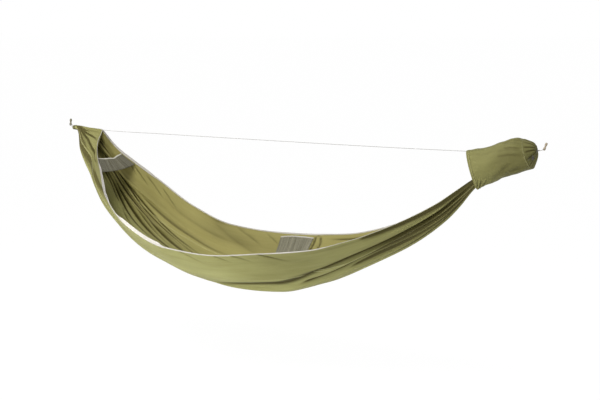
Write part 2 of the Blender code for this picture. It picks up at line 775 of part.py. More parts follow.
def ridgeline(parent):
    """The thin cord between the gathers, and a knot at each end behind the loops' stoppers."""
    behind = BED_START + KNOT_LENGTH + GAP
    ahead = BED_END - KNOT_LENGTH - GAP
    profile = [
        (0.55 * RIDGE_KNOT_RADIUS, 0.0),
        (RIDGE_KNOT_RADIUS, 0.25 * RIDGE_KNOT_LENGTH),
        (0.82 * RIDGE_KNOT_RADIUS, 0.5 * RIDGE_KNOT_LENGTH),
        (RIDGE_KNOT_RADIUS, 0.75 * RIDGE_KNOT_LENGTH),
        (0.55 * RIDGE_KNOT_RADIUS, RIDGE_KNOT_LENGTH),
    ]
    for name, start, turn in (
        ("ridgeline_head_knot", behind, 1),
        ("ridgeline_foot_knot", ahead, -1),
    ):
        mesh = revolved(name, profile, 14)
        place = Matrix.Translation((start, 0, CHORD_Z))
        mesh.transform(place @ Matrix.Rotation(turn * math.pi / 2, 4, "Y"))
        link(name, mesh, grey_cord(), parent)
    first = behind + RIDGE_KNOT_LENGTH + GAP
    last = ahead - RIDGE_KNOT_LENGTH - GAP
    route = [(first, 0, CHORD_Z), (first + 0.01, 0, CHORD_Z)]
    route += [(BED_START + CHORD * share, 0, CHORD_Z + height) for share, height in RIDGE_ROUTE]
    route += [(last - 0.01, 0, CHORD_Z), (last, 0, CHORD_Z)]
    cord("ridgeline", rounded_path(route, RIDGE_POINTS), RIDGE_RADIUS, grey_cord(), 2, parent)


# The sack and its closure

def sack_ring(share):
    """Middle, upward half axis and half width of the sack at a share of the way from the mouth."""
    rings = np.array([(*top, *bottom, width) for top, bottom, width in SACK_RINGS])
    rings[:, [0, 2]] = BED_START + CHORD * rings[:, [0, 2]]
    middles = (rings[:, 0:2] + rings[:, 2:4]) / 2
    knots = np.concatenate([[0], np.cumsum(np.linalg.norm(np.diff(middles, axis=0), axis=1))])
    knots /= knots[-1]
    row = hermite(knots, rings, steady_slopes(knots, rings), np.array([share]))[0]
    top = Vector((row[0], 0, CHORD_Z + row[1]))
    bottom = Vector((row[2], 0, CHORD_Z + row[3]))
    return (top + bottom) / 2, (top - bottom) / 2, row[4]


def sack_grid(shares, sides):
    grid = np.empty((len(shares), sides, 3))
    for i, share in enumerate(shares):
        middle, up, width = sack_ring(share)
        for k in range(sides):
            turn = 2 * math.pi * k / sides
            side = Vector((0, width * math.sin(turn), 0))
            grid[i, k] = middle + up * math.cos(turn) + side
    return grid


def sack_length():
    first, _, _ = sack_ring(0.0)
    last, _, _ = sack_ring(1.0)
    return (last - first).length


def sack(parent):
    """The sack's tube, the hem at its mouth, and its drawn end."""
    hem_share = HEM_DEPTH / sack_length()
    gap_share = GAP / sack_length()
    shares = np.linspace(hem_share + gap_share, 1 - gap_share, SACK_STEPS)
    tube = sack_grid(shares, SACK_SIDES)
    mesh = sheet_solid("sack_tube", tube, -grid_normals(tube, True), SACK_WALL, True)
    link("sack_tube", mesh, sack_cloth(), parent)
    hem = sack_grid(np.array([0.0, hem_share / 2, hem_share - gap_share]), SACK_SIDES)
    mesh = sheet_solid("sack_mouth_hem", hem, -grid_normals(hem, True), HEM_WALL, True)
    link("sack_mouth_hem", mesh, sack_cloth(), parent)
    drawn_end(parent)


def drawn_end(parent):
    """Pleats that run from the end of the tube in to the drawn hole. The radius falls with the
    cosine of a quarter turn and the end swells out with its sine, both to the power END_ROUNDNESS."""
    sides = END_PLEATS * 3
    middle, up, width = sack_ring(1.0)
    hole = Vector((END_PLANE, 0, CHORD_Z))
    grid = np.empty((END_STEPS + 1, sides, 3))
    hole_share = DRAWN_HOLE_RADIUS / width
    for i, share in enumerate(np.linspace(0.004, 1, END_STEPS + 1)):
        turned = share * math.pi / 2
        radial = hole_share + (1 - hole_share) * max(math.cos(turned), 0.0) ** END_ROUNDNESS
        out = math.sin(turned) ** END_ROUNDNESS
        for k in range(sides):
            turn = 2 * math.pi * k / sides
            rim = up * math.cos(turn) + Vector((0, width * math.sin(turn), 0))
            round_hole = Vector((0, math.sin(turn), math.cos(turn))) * DRAWN_HOLE_RADIUS
            spoke = rim * (1 - out) * radial + rim * out * (radial - hole_share) + round_hole * out
            pleat = END_PLEAT_DEPTH * math.sin(math.pi * share**0.7) * math.cos(END_PLEATS * turn)
            centre = middle * (1 - out) + hole * out
            grid[i, k] = centre + spoke + Vector((pleat, 0, 0))
    mesh = sheet_solid("sack_end_channel", grid, -grid_normals(grid, True), SACK_WALL, True)
    link("sack_end_channel", mesh, sack_cloth(), parent)


def lock_frame():
    """The lock's foot, and the direction in which the tails run through it."""
    turn = math.radians(LOCK_TURN)
    run = Vector((-math.sin(turn), -math.cos(turn), 0))
    return Vector((END_PLANE, 0, CHORD_Z)) + Vector(LOCK_PLACE), run


def drawcord(parent):
    """One cord: a tail, through the lock, round the drawn hole and back through the lock."""
    foot, run = lock_frame()
    middle = foot + Vector((0, 0, LOCK_CORD_HEIGHT))
    ring = DRAWN_HOLE_RADIUS
    hole = Vector((END_PLANE + SACK_WALL / 2 + DRAWCORD_RADIUS + GAP, 0, CHORD_Z))
    route = []
    for sign in (1, -1):
        lift = Vector((0, 0, sign * TAIL_SPACING / 2))
        tail = [
            middle + run * (TAIL_REACH + 0.007) + lift - Vector((0, 0, TAIL_DROP)),
            middle + run * (TAIL_REACH + 0.003) + lift - Vector((0, 0, 0.3 * TAIL_DROP)),
            middle + run * TAIL_REACH + lift,
            middle + run * (TAIL_REACH - 0.003) + lift,
            middle + run * (TAIL_REACH / 2) + lift,
            middle + lift,
            middle - run * 0.010 + lift,
        ]
        join = hole + Vector((0.0020, -ring - 0.010, 0)) + lift * 1.6
        leg = tail + [join]
        route = route + leg if sign == 1 else route + ring_points(hole, ring) + list(reversed(leg))
    points = rounded_path(route, 78)
    cord("sack_drawcord", points, DRAWCORD_RADIUS, grey_cord(), 1, parent)


def ring_points(hole, ring):
    """Round the hole from just above the tails' side to just below it."""
    turns = [math.radians(a) for a in (-118, -180, -240, -300, -360, -422)]
    return [hole + Vector((0, ring * math.sin(t), ring * math.cos(t))) for t in turns]


def lock(parent):
    """A cord lock: a barrel, a plunger that stands out of it, and the spring between them."""
    foot, run = lock_frame()
    angle = math.atan2(run.y, run.x)
    barrel = revolved(
        "lock_barrel",
        [
            (0.80 * LOCK_RADIUS, 0.0),
            (LOCK_RADIUS, 0.0012),
            (LOCK_RADIUS, LOCK_HEIGHT - 0.0010),
            (0.88 * LOCK_RADIUS, LOCK_HEIGHT),
        ],
        20,
    )
    barrel = link("lock_barrel", barrel, black_plastic(), None, foot)
    barrel.rotation_euler = (0, 0, angle)
    bore = revolved(
        "lock_bore", [(LOCK_BORE_RADIUS, LOCK_FLOOR), (LOCK_BORE_RADIUS, LOCK_HEIGHT + 0.002)], 20
    )
    combine(barrel, cutter("lock_bore", bore, foot), "DIFFERENCE")
    hole = box_mesh("lock_hole", 0.02, LOCK_HOLE_WIDTH, LOCK_HOLE_HEIGHT)
    place = foot + Vector((0, 0, LOCK_CORD_HEIGHT))
    combine(barrel, cutter("lock_hole", hole, place, (0, 0, angle)), "DIFFERENCE")

    radius = LOCK_BORE_RADIUS - PLUNGER_CLEARANCE
    cord_low = LOCK_CORD_HEIGHT - TAIL_SPACING / 2 - DRAWCORD_RADIUS
    cord_high = LOCK_CORD_HEIGHT + TAIL_SPACING / 2 + DRAWCORD_RADIUS
    slot_low = cord_low - GAP
    slot_high = cord_high + PLUNGER_TRAVEL + GAP
    plunger_low = slot_low - 0.0015
    plunger_high = LOCK_HEIGHT + PLUNGER_ABOVE
    plunger = revolved(
        "lock_plunger",
        [
            (radius - 0.0004, plunger_low),
            (radius, plunger_low + 0.0004),
            (radius, plunger_high - 0.0012),
            (0.7 * radius, plunger_high),
        ],
        18,
    )
    plunger = link("lock_plunger", plunger, black_plastic(), None, foot)
    slot = box_mesh("plunger_slot", 0.02, LOCK_HOLE_WIDTH, slot_high - slot_low)
    place = foot + Vector((0, 0, (slot_low + slot_high) / 2))
    combine(plunger, cutter("plunger_slot", slot, place, (0, 0, angle)), "DIFFERENCE")

    low = LOCK_FLOOR + GAP + SPRING_WIRE_RADIUS
    high = plunger_low - GAP - SPRING_WIRE_RADIUS
    mean = LOCK_BORE_RADIUS - SPRING_WIRE_RADIUS - 0.0004
    pitch = (high - low) / SPRING_TURNS
    print(f"least gap between the spring's turns {(pitch - 2 * SPRING_WIRE_RADIUS) * 1000:.2f} mm")
    steps = SPRING_TURNS * 9
    coil = []
    for k in range(steps + 1):
        turn = 2 * math.pi * k / 9
        height = low + (high - low) * k / steps
        coil.append(foot + Vector((mean * math.cos(turn), mean * math.sin(turn), height)))
    cord("lock_spring", coil, SPRING_WIRE_RADIUS, spring_steel(), 1, parent)


def box_mesh(name, length, width, height):
    mesh = bpy.data.meshes.new(name)
    work = bmesh.new()
    bmesh.ops.create_cube(work, size=1.0)
    bmesh.ops.scale(work, vec=(length, width, height), verts=work.verts)
    work.to_mesh(mesh)
    work.free()
    return mesh


def build():
    clear_scene()
    swing = empty("bed_swing_axis", (BED_START, 0, CHORD_Z))
    panel("near_panel", 0, SIDE_SHARE, SIDE_COLUMNS, swing)
    panel("centre_panel", SIDE_SHARE, 1 - SIDE_SHARE, CENTRE_COLUMNS, swing)
    panel("far_panel", 1 - SIDE_SHARE, 1, SIDE_COLUMNS, swing)
    binding("near_binding", 0, swing)
    binding("far_binding", 1, swing)
    channel("head_channel", HEAD_CHANNEL_X, swing)
    channel("foot_channel", FOOT_CHANNEL_X - CHANNEL_LENGTH, swing)
    whipping("head_whipping", BED_START + COLLAR_LENGTH / 2, swing)
    whipping("foot_whipping", BED_END - COLLAR_LENGTH / 2, swing)
    head_pocket(swing)
    wall_pocket(swing)
    ridgeline(swing)
    foot_pivot = (HANG_SPAN, 0, CHORD_Z + FOOT_PIVOT_RISE)
    loop("head_loop", (0, 0, 0), 1, HEAD_REACH)
    loop("foot_loop", foot_pivot, -1, FOOT_REACH)
    toggle("head_toggle", (0, 0, 0), HEAD_TOGGLE_LEAN, True)
    toggle("foot_toggle", foot_pivot, FOOT_TOGGLE_LEAN, False)
    slide = empty("sack_slide_axis", (END_PLANE, 0, CHORD_Z))
    sack(slide)
    drawcord(slide)
    lock(slide)


build()
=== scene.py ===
import math

import bpy
import numpy as np
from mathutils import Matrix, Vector


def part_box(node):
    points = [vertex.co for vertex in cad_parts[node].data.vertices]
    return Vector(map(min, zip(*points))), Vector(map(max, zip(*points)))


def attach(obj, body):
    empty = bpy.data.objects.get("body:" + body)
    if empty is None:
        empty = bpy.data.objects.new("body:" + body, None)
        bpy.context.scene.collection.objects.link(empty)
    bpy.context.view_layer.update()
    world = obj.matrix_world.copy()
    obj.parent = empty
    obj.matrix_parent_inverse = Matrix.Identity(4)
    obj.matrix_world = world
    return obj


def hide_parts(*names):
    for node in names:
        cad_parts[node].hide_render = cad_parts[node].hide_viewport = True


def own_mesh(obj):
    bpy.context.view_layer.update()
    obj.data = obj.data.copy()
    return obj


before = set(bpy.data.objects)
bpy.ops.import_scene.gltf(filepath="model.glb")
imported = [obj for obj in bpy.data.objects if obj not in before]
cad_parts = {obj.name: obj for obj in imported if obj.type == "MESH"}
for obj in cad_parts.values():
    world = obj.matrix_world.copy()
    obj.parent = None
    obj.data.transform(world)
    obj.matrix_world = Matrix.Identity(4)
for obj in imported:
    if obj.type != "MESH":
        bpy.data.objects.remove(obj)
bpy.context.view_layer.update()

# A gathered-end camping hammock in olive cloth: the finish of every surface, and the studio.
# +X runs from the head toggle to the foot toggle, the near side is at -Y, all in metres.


# Camera, where the photograph was taken from

cameraSettings = {
    "target": (1.395, 0.0, -0.3313),
    "azimuth": 25.0,
    "elevation": 8.742,
    "distance": 7.0,
    "sensor": 36.0,
    "lens": 82.0,
}


def placeCamera(settings):
    turn = math.radians(settings["azimuth"])
    rise = math.radians(settings["elevation"])
    back = Vector((math.sin(turn) * math.cos(rise), -math.cos(turn) * math.cos(rise), math.sin(rise)))
    data = bpy.data.cameras.new("camera")
    data.sensor_width = settings["sensor"]
    data.lens = settings["lens"]
    data.clip_end = 60.0
    camera = bpy.data.objects.new("camera", data)
    camera.location = Vector(settings["target"]) + back * settings["distance"]
    camera.rotation_euler = back.to_track_quat("Z", "Y").to_euler()
    bpy.context.scene.collection.objects.link(camera)
    bpy.context.scene.camera = camera


placeCamera(cameraSettings)


# Materials: a Wire is a socket that can be added and multiplied; a Paint is one node tree

class Wire:
    def __init__(self, paint, socket):
        self.paint, self.socket = paint, socket

    def beside(self, output):
        # another output of the same node
        return Wire(self.paint, self.socket.node.outputs[output])

    def maths(self, operation, first, second=0.0):
        return self.paint.add("ShaderNodeMath", {"operation": operation}, {0: first, 1: second})

    def __add__(self, other):
        return self.maths("ADD", self, other)

    __radd__ = __add__

    def __sub__(self, other):
        return self.maths("SUBTRACT", self, other)

    def __rsub__(self, other):
        return self.maths("SUBTRACT", other, self)

    def __mul__(self, other):
        return self.maths("MULTIPLY", self, other)

    __rmul__ = __mul__

    def __truediv__(self, other):
        return self.maths("DIVIDE", self, other)

    def __gt__(self, other):
        return self.maths("GREATER_THAN", self, other)

    def __lt__(self, other):
        return self.maths("LESS_THAN", self, other)

    def wave(self):
        # sine of the value, in radians
        return self.maths("SINE", self)

    def size(self):
        return self.maths("ABSOLUTE", self)

    def part(self):
        return self.maths("FRACT", self)

    def whole(self):
        return self.maths("FLOOR", self)

    def larger(self, other):
        return self.maths("MAXIMUM", self, other)

    def smaller(self, other):
        return self.maths("MINIMUM", self, other)

    def ribs(self, apart):
        # a sine wave with this distance from one rib to the next
        return (self * (2 * math.pi / apart)).wave()

    def dashes(self, apart, share):
        # 1 over the first share of every stretch of this length
        return (self / apart).part() < share

    def near(self, line, half):
        # 1 up to half on both sides of a line
        return (self - line).size() < half

    def between(self, low, high):
        # 0 up to low, 1 from high
        return self.paint.add("ShaderNodeMapRange", {}, {0: self, 1: low, 2: high, 3: 0.0, 4: 1.0})


class Paint:
    def __init__(self, made, shader):
        # made is a new material or world, and shader the name of its own shader node
        made.use_nodes = True
        self.made, self.tree = made, made.node_tree
        self.shader = self.tree.nodes[shader]

    def add(self, kind, settings, sockets, output=0):
        node = self.tree.nodes.new(kind)
        for key, value in settings.items():
            setattr(node, key, value)
        for key, value in sockets.items():
            self.put(node.inputs[key], value)
        return Wire(self, node.outputs[output])

    def put(self, socket, value):
        if isinstance(value, Wire):
            self.tree.links.new(value.socket, socket)
        elif socket.type == "RGBA":
            socket.default_value = (*value, 1.0)
        else:
            socket.default_value = value

    def set(self, name, value):
        self.put(self.shader.inputs[name], value)

    def split(self, wire):
        first = self.add("ShaderNodeSeparateXYZ", {}, {0: wire})
        return first, first.beside(1), first.beside(2)

    def cloth(self):
        # the piece's own map, and its distances in metres along and across
        place = self.add("ShaderNodeUVMap", {"uv_map": "cloth"}, {})
        along, across, _ = self.split(place)
        return place, along, across

    def state(self):
        # a sheet's own attribute: how open the cloth is, its painted shade, and its inside's painted warmth
        return self.split(self.add("ShaderNodeAttribute", {"attribute_name": "state"}, {}, "Vector"))

    def place(self):
        return self.add("ShaderNodeTexCoord", {}, {}, "Object")

    def noise(self, where, scale, detail=3.0, roughness=0.55, stretch=None):
        if stretch:
            where = self.add("ShaderNodeMapping", {}, {"Vector": where, "Scale": stretch})
        sockets = {"Vector": where, "Scale": scale, "Detail": detail, "Roughness": roughness}
        return self.add("ShaderNodeTexNoise", {}, sockets)

    def mixed(self, share, first, second):
        # colours: share 0 gives the first, 1 the second
        return self.add("ShaderNodeMix", {"data_type": "RGBA"}, {0: share, 6: first, 7: second}, 2)

    def dress(self, colour, roughness, height, distance, strength):
        # the finish of a surface; height 1 stands out by the distance, as steeply as strength says
        self.set("Base Color", colour)
        self.set("Roughness", roughness)
        sockets = {"Height": height, "Distance": distance, "Strength": strength}
        self.set("Normal", self.add("ShaderNodeBump", {}, sockets))
        return self.made


def surfacePaint(name):
    return Paint(bpy.data.materials.new(name), "Principled BSDF")


clothSettings = {
    "light": (0.444, 0.440, 0.178),
    "dark": (0.326, 0.318, 0.114),
    # painted light: inside and its share tint the inner side warmer, standing in for light that comes
    # through the thin cloth
    "inside": (0.388, 0.320, 0.104),
    "insideGlowShare": 0.6,
    # painted shade: fold is the colour that the faint creases darken towards (the heavy threads take a
    # little of it too), deep the one that folds and shaded places darken towards
    "fold": (0.208, 0.196, 0.052),
    "deep": (0.047, 0.037, 0.005),
    "foldShadeShare": 0.90,
    "roughness": 0.55,
    "ripstop": 0.0055,  # between the heavier threads
    "heavy": 0.09,  # the share of that which the thread takes
    "weave": 0.0007,
    "rowHalf": 0.0006,
    "stitchLength": 0.0030,
    "stitchShare": 0.72,
    "stitch": (0.52, 0.50, 0.27),
}


def clothPaint(name, settings, stitches=(), acrossTheLength=False):
    # thin woven cloth: a ripstop grid of heavier threads, plain weave between, slow random changes of
    # tone, faint creases along the cloth that fade where it is gathered, with painted shade in them,
    # a painted warm tint on the inside for light that comes through the cloth, painted shade in the
    # folds, and rows of stitches at the given distances
    paint = surfacePaint(name)
    place, along, across = paint.cloth()
    opened, fold, inner = paint.state()
    slow = paint.noise(place, 2.2, 4.0, 0.6, (0.8, 3.0, 1.0))
    creases = paint.noise(place, 3.0, 2.0, 0.5, (2.2, 24.0, 1.0))
    puckers = paint.noise(place, 1.6, 2.0, 0.5, (14.0, 9.0, 1.0))
    grid = settings["ripstop"]
    heavy = along.dashes(grid, settings["heavy"]).larger(across.dashes(grid, settings["heavy"]))
    weave = along.ribs(settings["weave"]) * across.ribs(settings["weave"])
    colour = paint.mixed(slow.between(0.34, 0.68), settings["dark"], settings["light"])
    # painted warm light through the cloth, on the inside
    colour = paint.mixed(inner * settings["insideGlowShare"], colour, settings["inside"])
    # painted shade along the faint creases
    colour = paint.mixed(creases * 0.30, colour, settings["fold"])
    colour = paint.mixed(heavy * opened * 0.14, colour, settings["fold"])
    # painted shade in folds and other shaded places, from the state
    colour = paint.mixed(fold * settings["foldShadeShare"], colour, settings["deep"])
    height = (weave * 0.06 + heavy * 0.30 + puckers * 1.2) * opened + creases * 1.8 * (opened * 0.8 + 0.2)
    run, off = (across, along) if acrossTheLength else (along, across)
    for line in stitches:
        row = off.near(line, settings["rowHalf"])
        stitch = row * run.dashes(settings["stitchLength"], settings["stitchShare"])
        colour = paint.mixed(stitch * 0.7, colour, settings["stitch"])
        height = height + stitch * 0.5 - row * 0.4
    paint.set("Specular IOR Level", 0.2)
    paint.set("Sheen Weight", 0.03)
    paint.set("Sheen Roughness", 0.45)
    roughness = settings["roughness"] + creases * 0.16 - heavy * 0.05
    return paint.dress(colour, roughness, height, 0.0009, 0.8)


tapeSettings = {
    "width": 0.011,
    "thickness": 0.0017,
    "fromEdge": 0.0002,
    "tuckGap": 0.0005,  # between the cloth and tape that is turned under it
    "bulge": 0.0009,
    "waver": 7,  # degrees that its lean changes by
    "light": (0.70, 0.67, 0.61),
    "dark": (0.44, 0.41, 0.36),
    "shaded": (0.17, 0.16, 0.145),
    "rib": 0.0011,
    "rows": (0.0022, 0.0088),
    "rowHalf": 0.0004,
    "stitchLength": 0.0030,
    "stitchShare": 0.7,
    "stitch": (0.74, 0.72, 0.66),
    "roughness": 0.62,
}


def tapePaint(name, settings):
    # woven tape: ribs across it, a row of stitches near each edge, slow changes of tone, and
    # painted shade where it lies in shade
    paint = surfacePaint(name)
    place, along, across = paint.cloth()
    slow = paint.noise(place, 2.0, 4.0, 0.6, (5.0, 30.0, 1.0))
    ribs = along.ribs(settings["rib"])
    colour = paint.mixed(slow, settings["dark"], settings["light"])
    # painted shade, as much as the state's second share says
    colour = paint.mixed(paint.state()[1], colour, settings["shaded"])
    first, last = (across.near(line, settings["rowHalf"]) for line in settings["rows"])
    row = first.larger(last)
    stitch = row * along.dashes(settings["stitchLength"], settings["stitchShare"])
    colour = paint.mixed(stitch * 0.6, colour, settings["stitch"])
    height = ribs * 0.3 + stitch * 0.6 - row * 0.3 + slow * 1.2
    return paint.dress(colour, settings["roughness"] + slow * 0.2, height, 0.0006, 0.8)


netSettings = {
    "thread": (0.165, 0.156, 0.105),
    "pale": (0.330, 0.312, 0.228),
    "cell": 0.0026,
    "rowShare": 0.87,  # of a cell, from one row of holes to the next
    "hole": 0.085,  # square of a hole's radius, in cells
    "through": 0.30,  # how much of the cloth behind a hole hides
    "roughness": 0.75,
}


def netPaint(name, settings):
    # knitted net: staggered round holes in a grid, seen through, with paler thick threads
    paint = surfacePaint(name)
    place, along, across = paint.cloth()
    rows = across / (settings["cell"] * settings["rowShare"])
    x = (along / settings["cell"] + (rows.whole() * 0.5).part()).part() - 0.5
    y = rows.part() - 0.5
    away = x * x + y * y
    thread = away > settings["hole"]
    slow = paint.noise(place, 1.0, 3.0, 0.6, (90.0, 5.0, 1.0))
    paint.set("Alpha", settings["through"] + thread * (1 - settings["through"]))
    colour = paint.mixed(slow.between(0.35, 0.70), settings["thread"], settings["pale"])
    height = away.smaller(0.2) * 3.0 + slow * 0.8
    return paint.dress(colour, settings["roughness"] + slow * 0.1, height, 0.0008, 0.7)


def elasticPaint(name, light, dark, rib):
    # ribbed elastic hem of the net
    paint = surfacePaint(name)
    place, _, across = paint.cloth()
    slow = paint.noise(place, 1.0, stretch=(40.0, 60.0, 1.0))
    height = across.ribs(rib) * 0.4 + slow
    return paint.dress(paint.mixed(slow, dark, light), 0.62 + slow * 0.2, height, 0.0006, 0.8)


def cordPaint(name, light, dark, plait):
    # braided cord: two families of strands wound in opposite ways, each passing three times
    # round; the map runs in metres along and from 0 to 1 round
    paint = surfacePaint(name)
    _, along, turn = paint.cloth()
    run, wound = along * (2 * math.pi / plait), turn * (3 * 2 * math.pi)
    braid = (run + wound).wave() * (run - wound).wave()
    slow = paint.noise(paint.place(), 60.0)
    share = (braid * 0.5 + 0.5) * (slow * 0.6 + 0.4)
    return paint.dress(paint.mixed(share, dark, light), 0.6 + slow * 0.15, braid, 0.0004, 0.7)


def turnedPaint(name, light, dark):
    # turned and oiled: long grain and pores
    paint = surfacePaint(name)
    grain = paint.noise(paint.place(), 1.0, 5.0, 0.7, (260.0, 260.0, 34.0))
    pores = paint.noise(paint.place(), 1.0, 2.0, stretch=(900.0, 900.0, 120.0))
    height = grain * 0.6 + pores * 0.5
    return paint.dress(paint.mixed(grain, dark, light), 0.34 + pores * 0.22, height, 0.0003, 0.6)


def mouldedPaint(name, colour):
    # moulded plastic with a fine spark-eroded grain
    paint = surfacePaint(name)
    grain = paint.noise(paint.place(), 1400.0, 2.0)
    slow = paint.noise(paint.place(), 90.0)
    worn = [c * 1.8 + 0.01 for c in colour]
    return paint.dress(paint.mixed(slow, colour, worn), 0.34 + grain * 0.22, grain, 0.0002, 0.5)


def wirePaint(name, light, dark):
    # drawn spring wire: fine lines and a few dull spots
    paint = surfacePaint(name)
    paint.set("Metallic", 1.0)
    lines = paint.noise(paint.place(), 1.0, stretch=(900.0, 900.0, 2600.0))
    return paint.dress(paint.mixed(lines, dark, light), 0.22 + lines * 0.25, lines, 0.0001, 0.4)


# Surfaces from grids of points

def meshFrom(name, points, faces, uvs, material, state=None):
    # points (n, 3), faces (m, 4) and one map pair for every corner of every face; state is three
    # shares from 0 to 1 for every point: how open the cloth is, how much painted shade it takes in
    # folds and shaded places, and how much painted warm light through the cloth its inside takes
    mesh = bpy.data.meshes.new(name)
    mesh.vertices.add(len(points))
    mesh.vertices.foreach_set("co", np.asarray(points, np.float32).ravel())
    mesh.loops.add(faces.size)
    mesh.loops.foreach_set("vertex_index", faces.astype(np.int32).ravel())
    mesh.polygons.add(len(faces))
    mesh.polygons.foreach_set("loop_start", np.arange(0, faces.size, 4, dtype=np.int32))
    mesh.update(calc_edges=True)
    layer = mesh.uv_layers.new(name="cloth")
    layer.uv.foreach_set("vector", np.asarray(uvs, np.float32).ravel())
    if state is not None:
        layer = mesh.attributes.new("state", "FLOAT_VECTOR", "POINT")
        layer.data.foreach_set("vector", np.asarray(state, np.float32).ravel())
    mesh.validate()
    mesh.shade_smooth()
    mesh.materials.append(material)
    piece = bpy.data.objects.new(name, mesh)
    bpy.context.scene.collection.objects.link(piece)
    return piece


def gridCells(rows, columns, closed):
    # row and column numbers of the cells between neighbouring points of a grid
    return np.meshgrid(np.arange(rows - 1), np.arange(columns if closed else columns - 1), indexing="ij")


def gridQuads(rows, columns, closed):
    # corner numbers of the quads of a grid's cells
    i, j = gridCells(rows, columns, closed)
    k = (j + 1) % columns
    a = i * columns
    return np.stack([a + j, a + k, a + columns + k, a + columns + j], axis=-1).reshape(-1, 4)


def cornerMap(values, closed, wrap):
    # the map pairs of a grid's corners; on a closed grid the last column gets wrap added
    rows, columns = values.shape[:2]
    wide = values
    if closed:
        wide = np.concatenate([values, values[:, :1] + np.array(wrap)], axis=1)
    i, j = gridCells(rows, columns, closed)
    corners = [wide[i, j], wide[i, j + 1], wide[i + 1, j + 1], wide[i + 1, j]]
    return np.stack(corners, axis=2).reshape(-1, 2)


def unit(vectors):
    return vectors / np.linalg.norm(vectors, axis=-1, keepdims=True)


def gridNormals(points):
    return unit(np.cross(np.gradient(points, axis=1), np.gradient(points, axis=0)))


def mapPairs(along, across):
    return np.stack(np.broadcast_arrays(along, across), axis=-1)


# painted shade for the inner side of the cloth, which gets less light
innerDusk = 0.12  # how much darker the inner side of any cloth is


def foldSides(bend, outerShade=0.0, innerShade=0.0):
    # painted shade on the outer and the inner side: valleys are darkened, a valley of one side is a
    # ridge of the other, and the inner side gets less light
    return np.maximum(bend, 0) + outerShade, np.maximum(-bend, 0) + innerShade + innerDusk


def thickSheet(
    name, middle, normals, thickness, uv, material, closed=False, wrap=(0.0, 0.0), state=None, inside=1
):
    # a closed shell: the grid moved half its thickness to each side along its normals, with
    # a strip of quads round the rim; on a grid that closes on itself only the two ends have rims;
    # inside is 1 where the normals point out and 0 where they point in
    rows, columns = middle.shape[:2]
    count = rows * columns
    half = np.broadcast_to(np.asarray(thickness, float) / 2, middle.shape[:2])[..., None]
    outer = middle + normals * half
    inner = middle - normals * half
    quads = gridQuads(rows, columns, closed)
    corners = cornerMap(uv, closed, wrap).reshape(-1, 4, 2)
    faces = [quads, quads[:, ::-1] + count]
    maps = [corners, corners[:, ::-1]]
    flat = uv.reshape(-1, 2)
    first = np.arange(columns)
    last = (rows - 1) * columns + first
    side = np.arange(rows) * columns
    if closed:
        rims = [np.append(first, first[0]), np.append(last, last[0])[::-1]]
    else:
        rims = [first, side + columns - 1, last[::-1], side[::-1]]
    for line in rims:
        a, b = line[:-1], line[1:]
        faces.append(np.stack([b, a, a + count, b + count], axis=1))
        maps.append(np.stack([flat[b], flat[a], flat[a], flat[b]], axis=1))
    points = np.concatenate([outer.reshape(-1, 3), inner.reshape(-1, 3)])
    if state is not None:
        # the open share, how much painted shade each side takes, first the one that the normals point to,
        # and how much painted warm light through the cloth the inside takes
        sides = np.zeros((2, rows, columns, 3))
        sides[..., 0] = state[0]
        sides[..., 1] = np.clip(state[1], 0, 1)
        sides[inside, ..., 2] = state[2]
        state = sides.reshape(-1, 3)
    return meshFrom(name, points, np.concatenate(faces), np.concatenate(maps), material, state)


def fullTurn(sides):
    return 2 * math.pi * np.arange(sides) / sides


def aroundChord(x, radius, turn):
    # points round the line Y = 0, Z = chordZ
    return np.stack([x, radius * np.sin(turn), chordZ + radius * np.cos(turn)], axis=-1)


def ladder(ring):
    # quads that close a ring with an even number of points
    half = len(ring) // 2
    k = np.arange(half - 1)
    return np.stack([ring[k], ring[k + 1], ring[len(ring) - 2 - k], ring[len(ring) - 1 - k]], axis=1)


def lengthAlong(points):
    step = np.linalg.norm(np.diff(points, axis=0), axis=1)
    return np.concatenate([[0.0], np.cumsum(step)])


def throughKnots(knots, values, slopes, at):
    # cubic pieces that pass the values at the knots with the slopes there
    i = np.clip(np.searchsorted(knots, at, side="right") - 1, 0, len(knots) - 2)
    step = (knots[i + 1] - knots[i])[:, None]
    t = (at - knots[i])[:, None] / step
    return (
        (2 * t**3 - 3 * t**2 + 1) * values[i]
        + (t**3 - 2 * t**2 + t) * step * slopes[i]
        + (3 * t**2 - 2 * t**3) * values[i + 1]
        + (t**3 - t**2) * step * slopes[i + 1]
    )


def smoothLine(points, count, fineness=12):
    # evenly spaced points on a smooth line through chosen points, measured on a finer one
    points = np.array(points, float)
    knots = lengthAlong(points)
    slopes = np.gradient(points, knots, axis=0)
    fine = throughKnots(knots, points, slopes, np.linspace(0, knots[-1], count * fineness))
    length = lengthAlong(fine)
    at = np.linspace(0, length[-1], count)
    return np.stack([np.interp(at, length, fine[:, k]) for k in range(3)], axis=1)


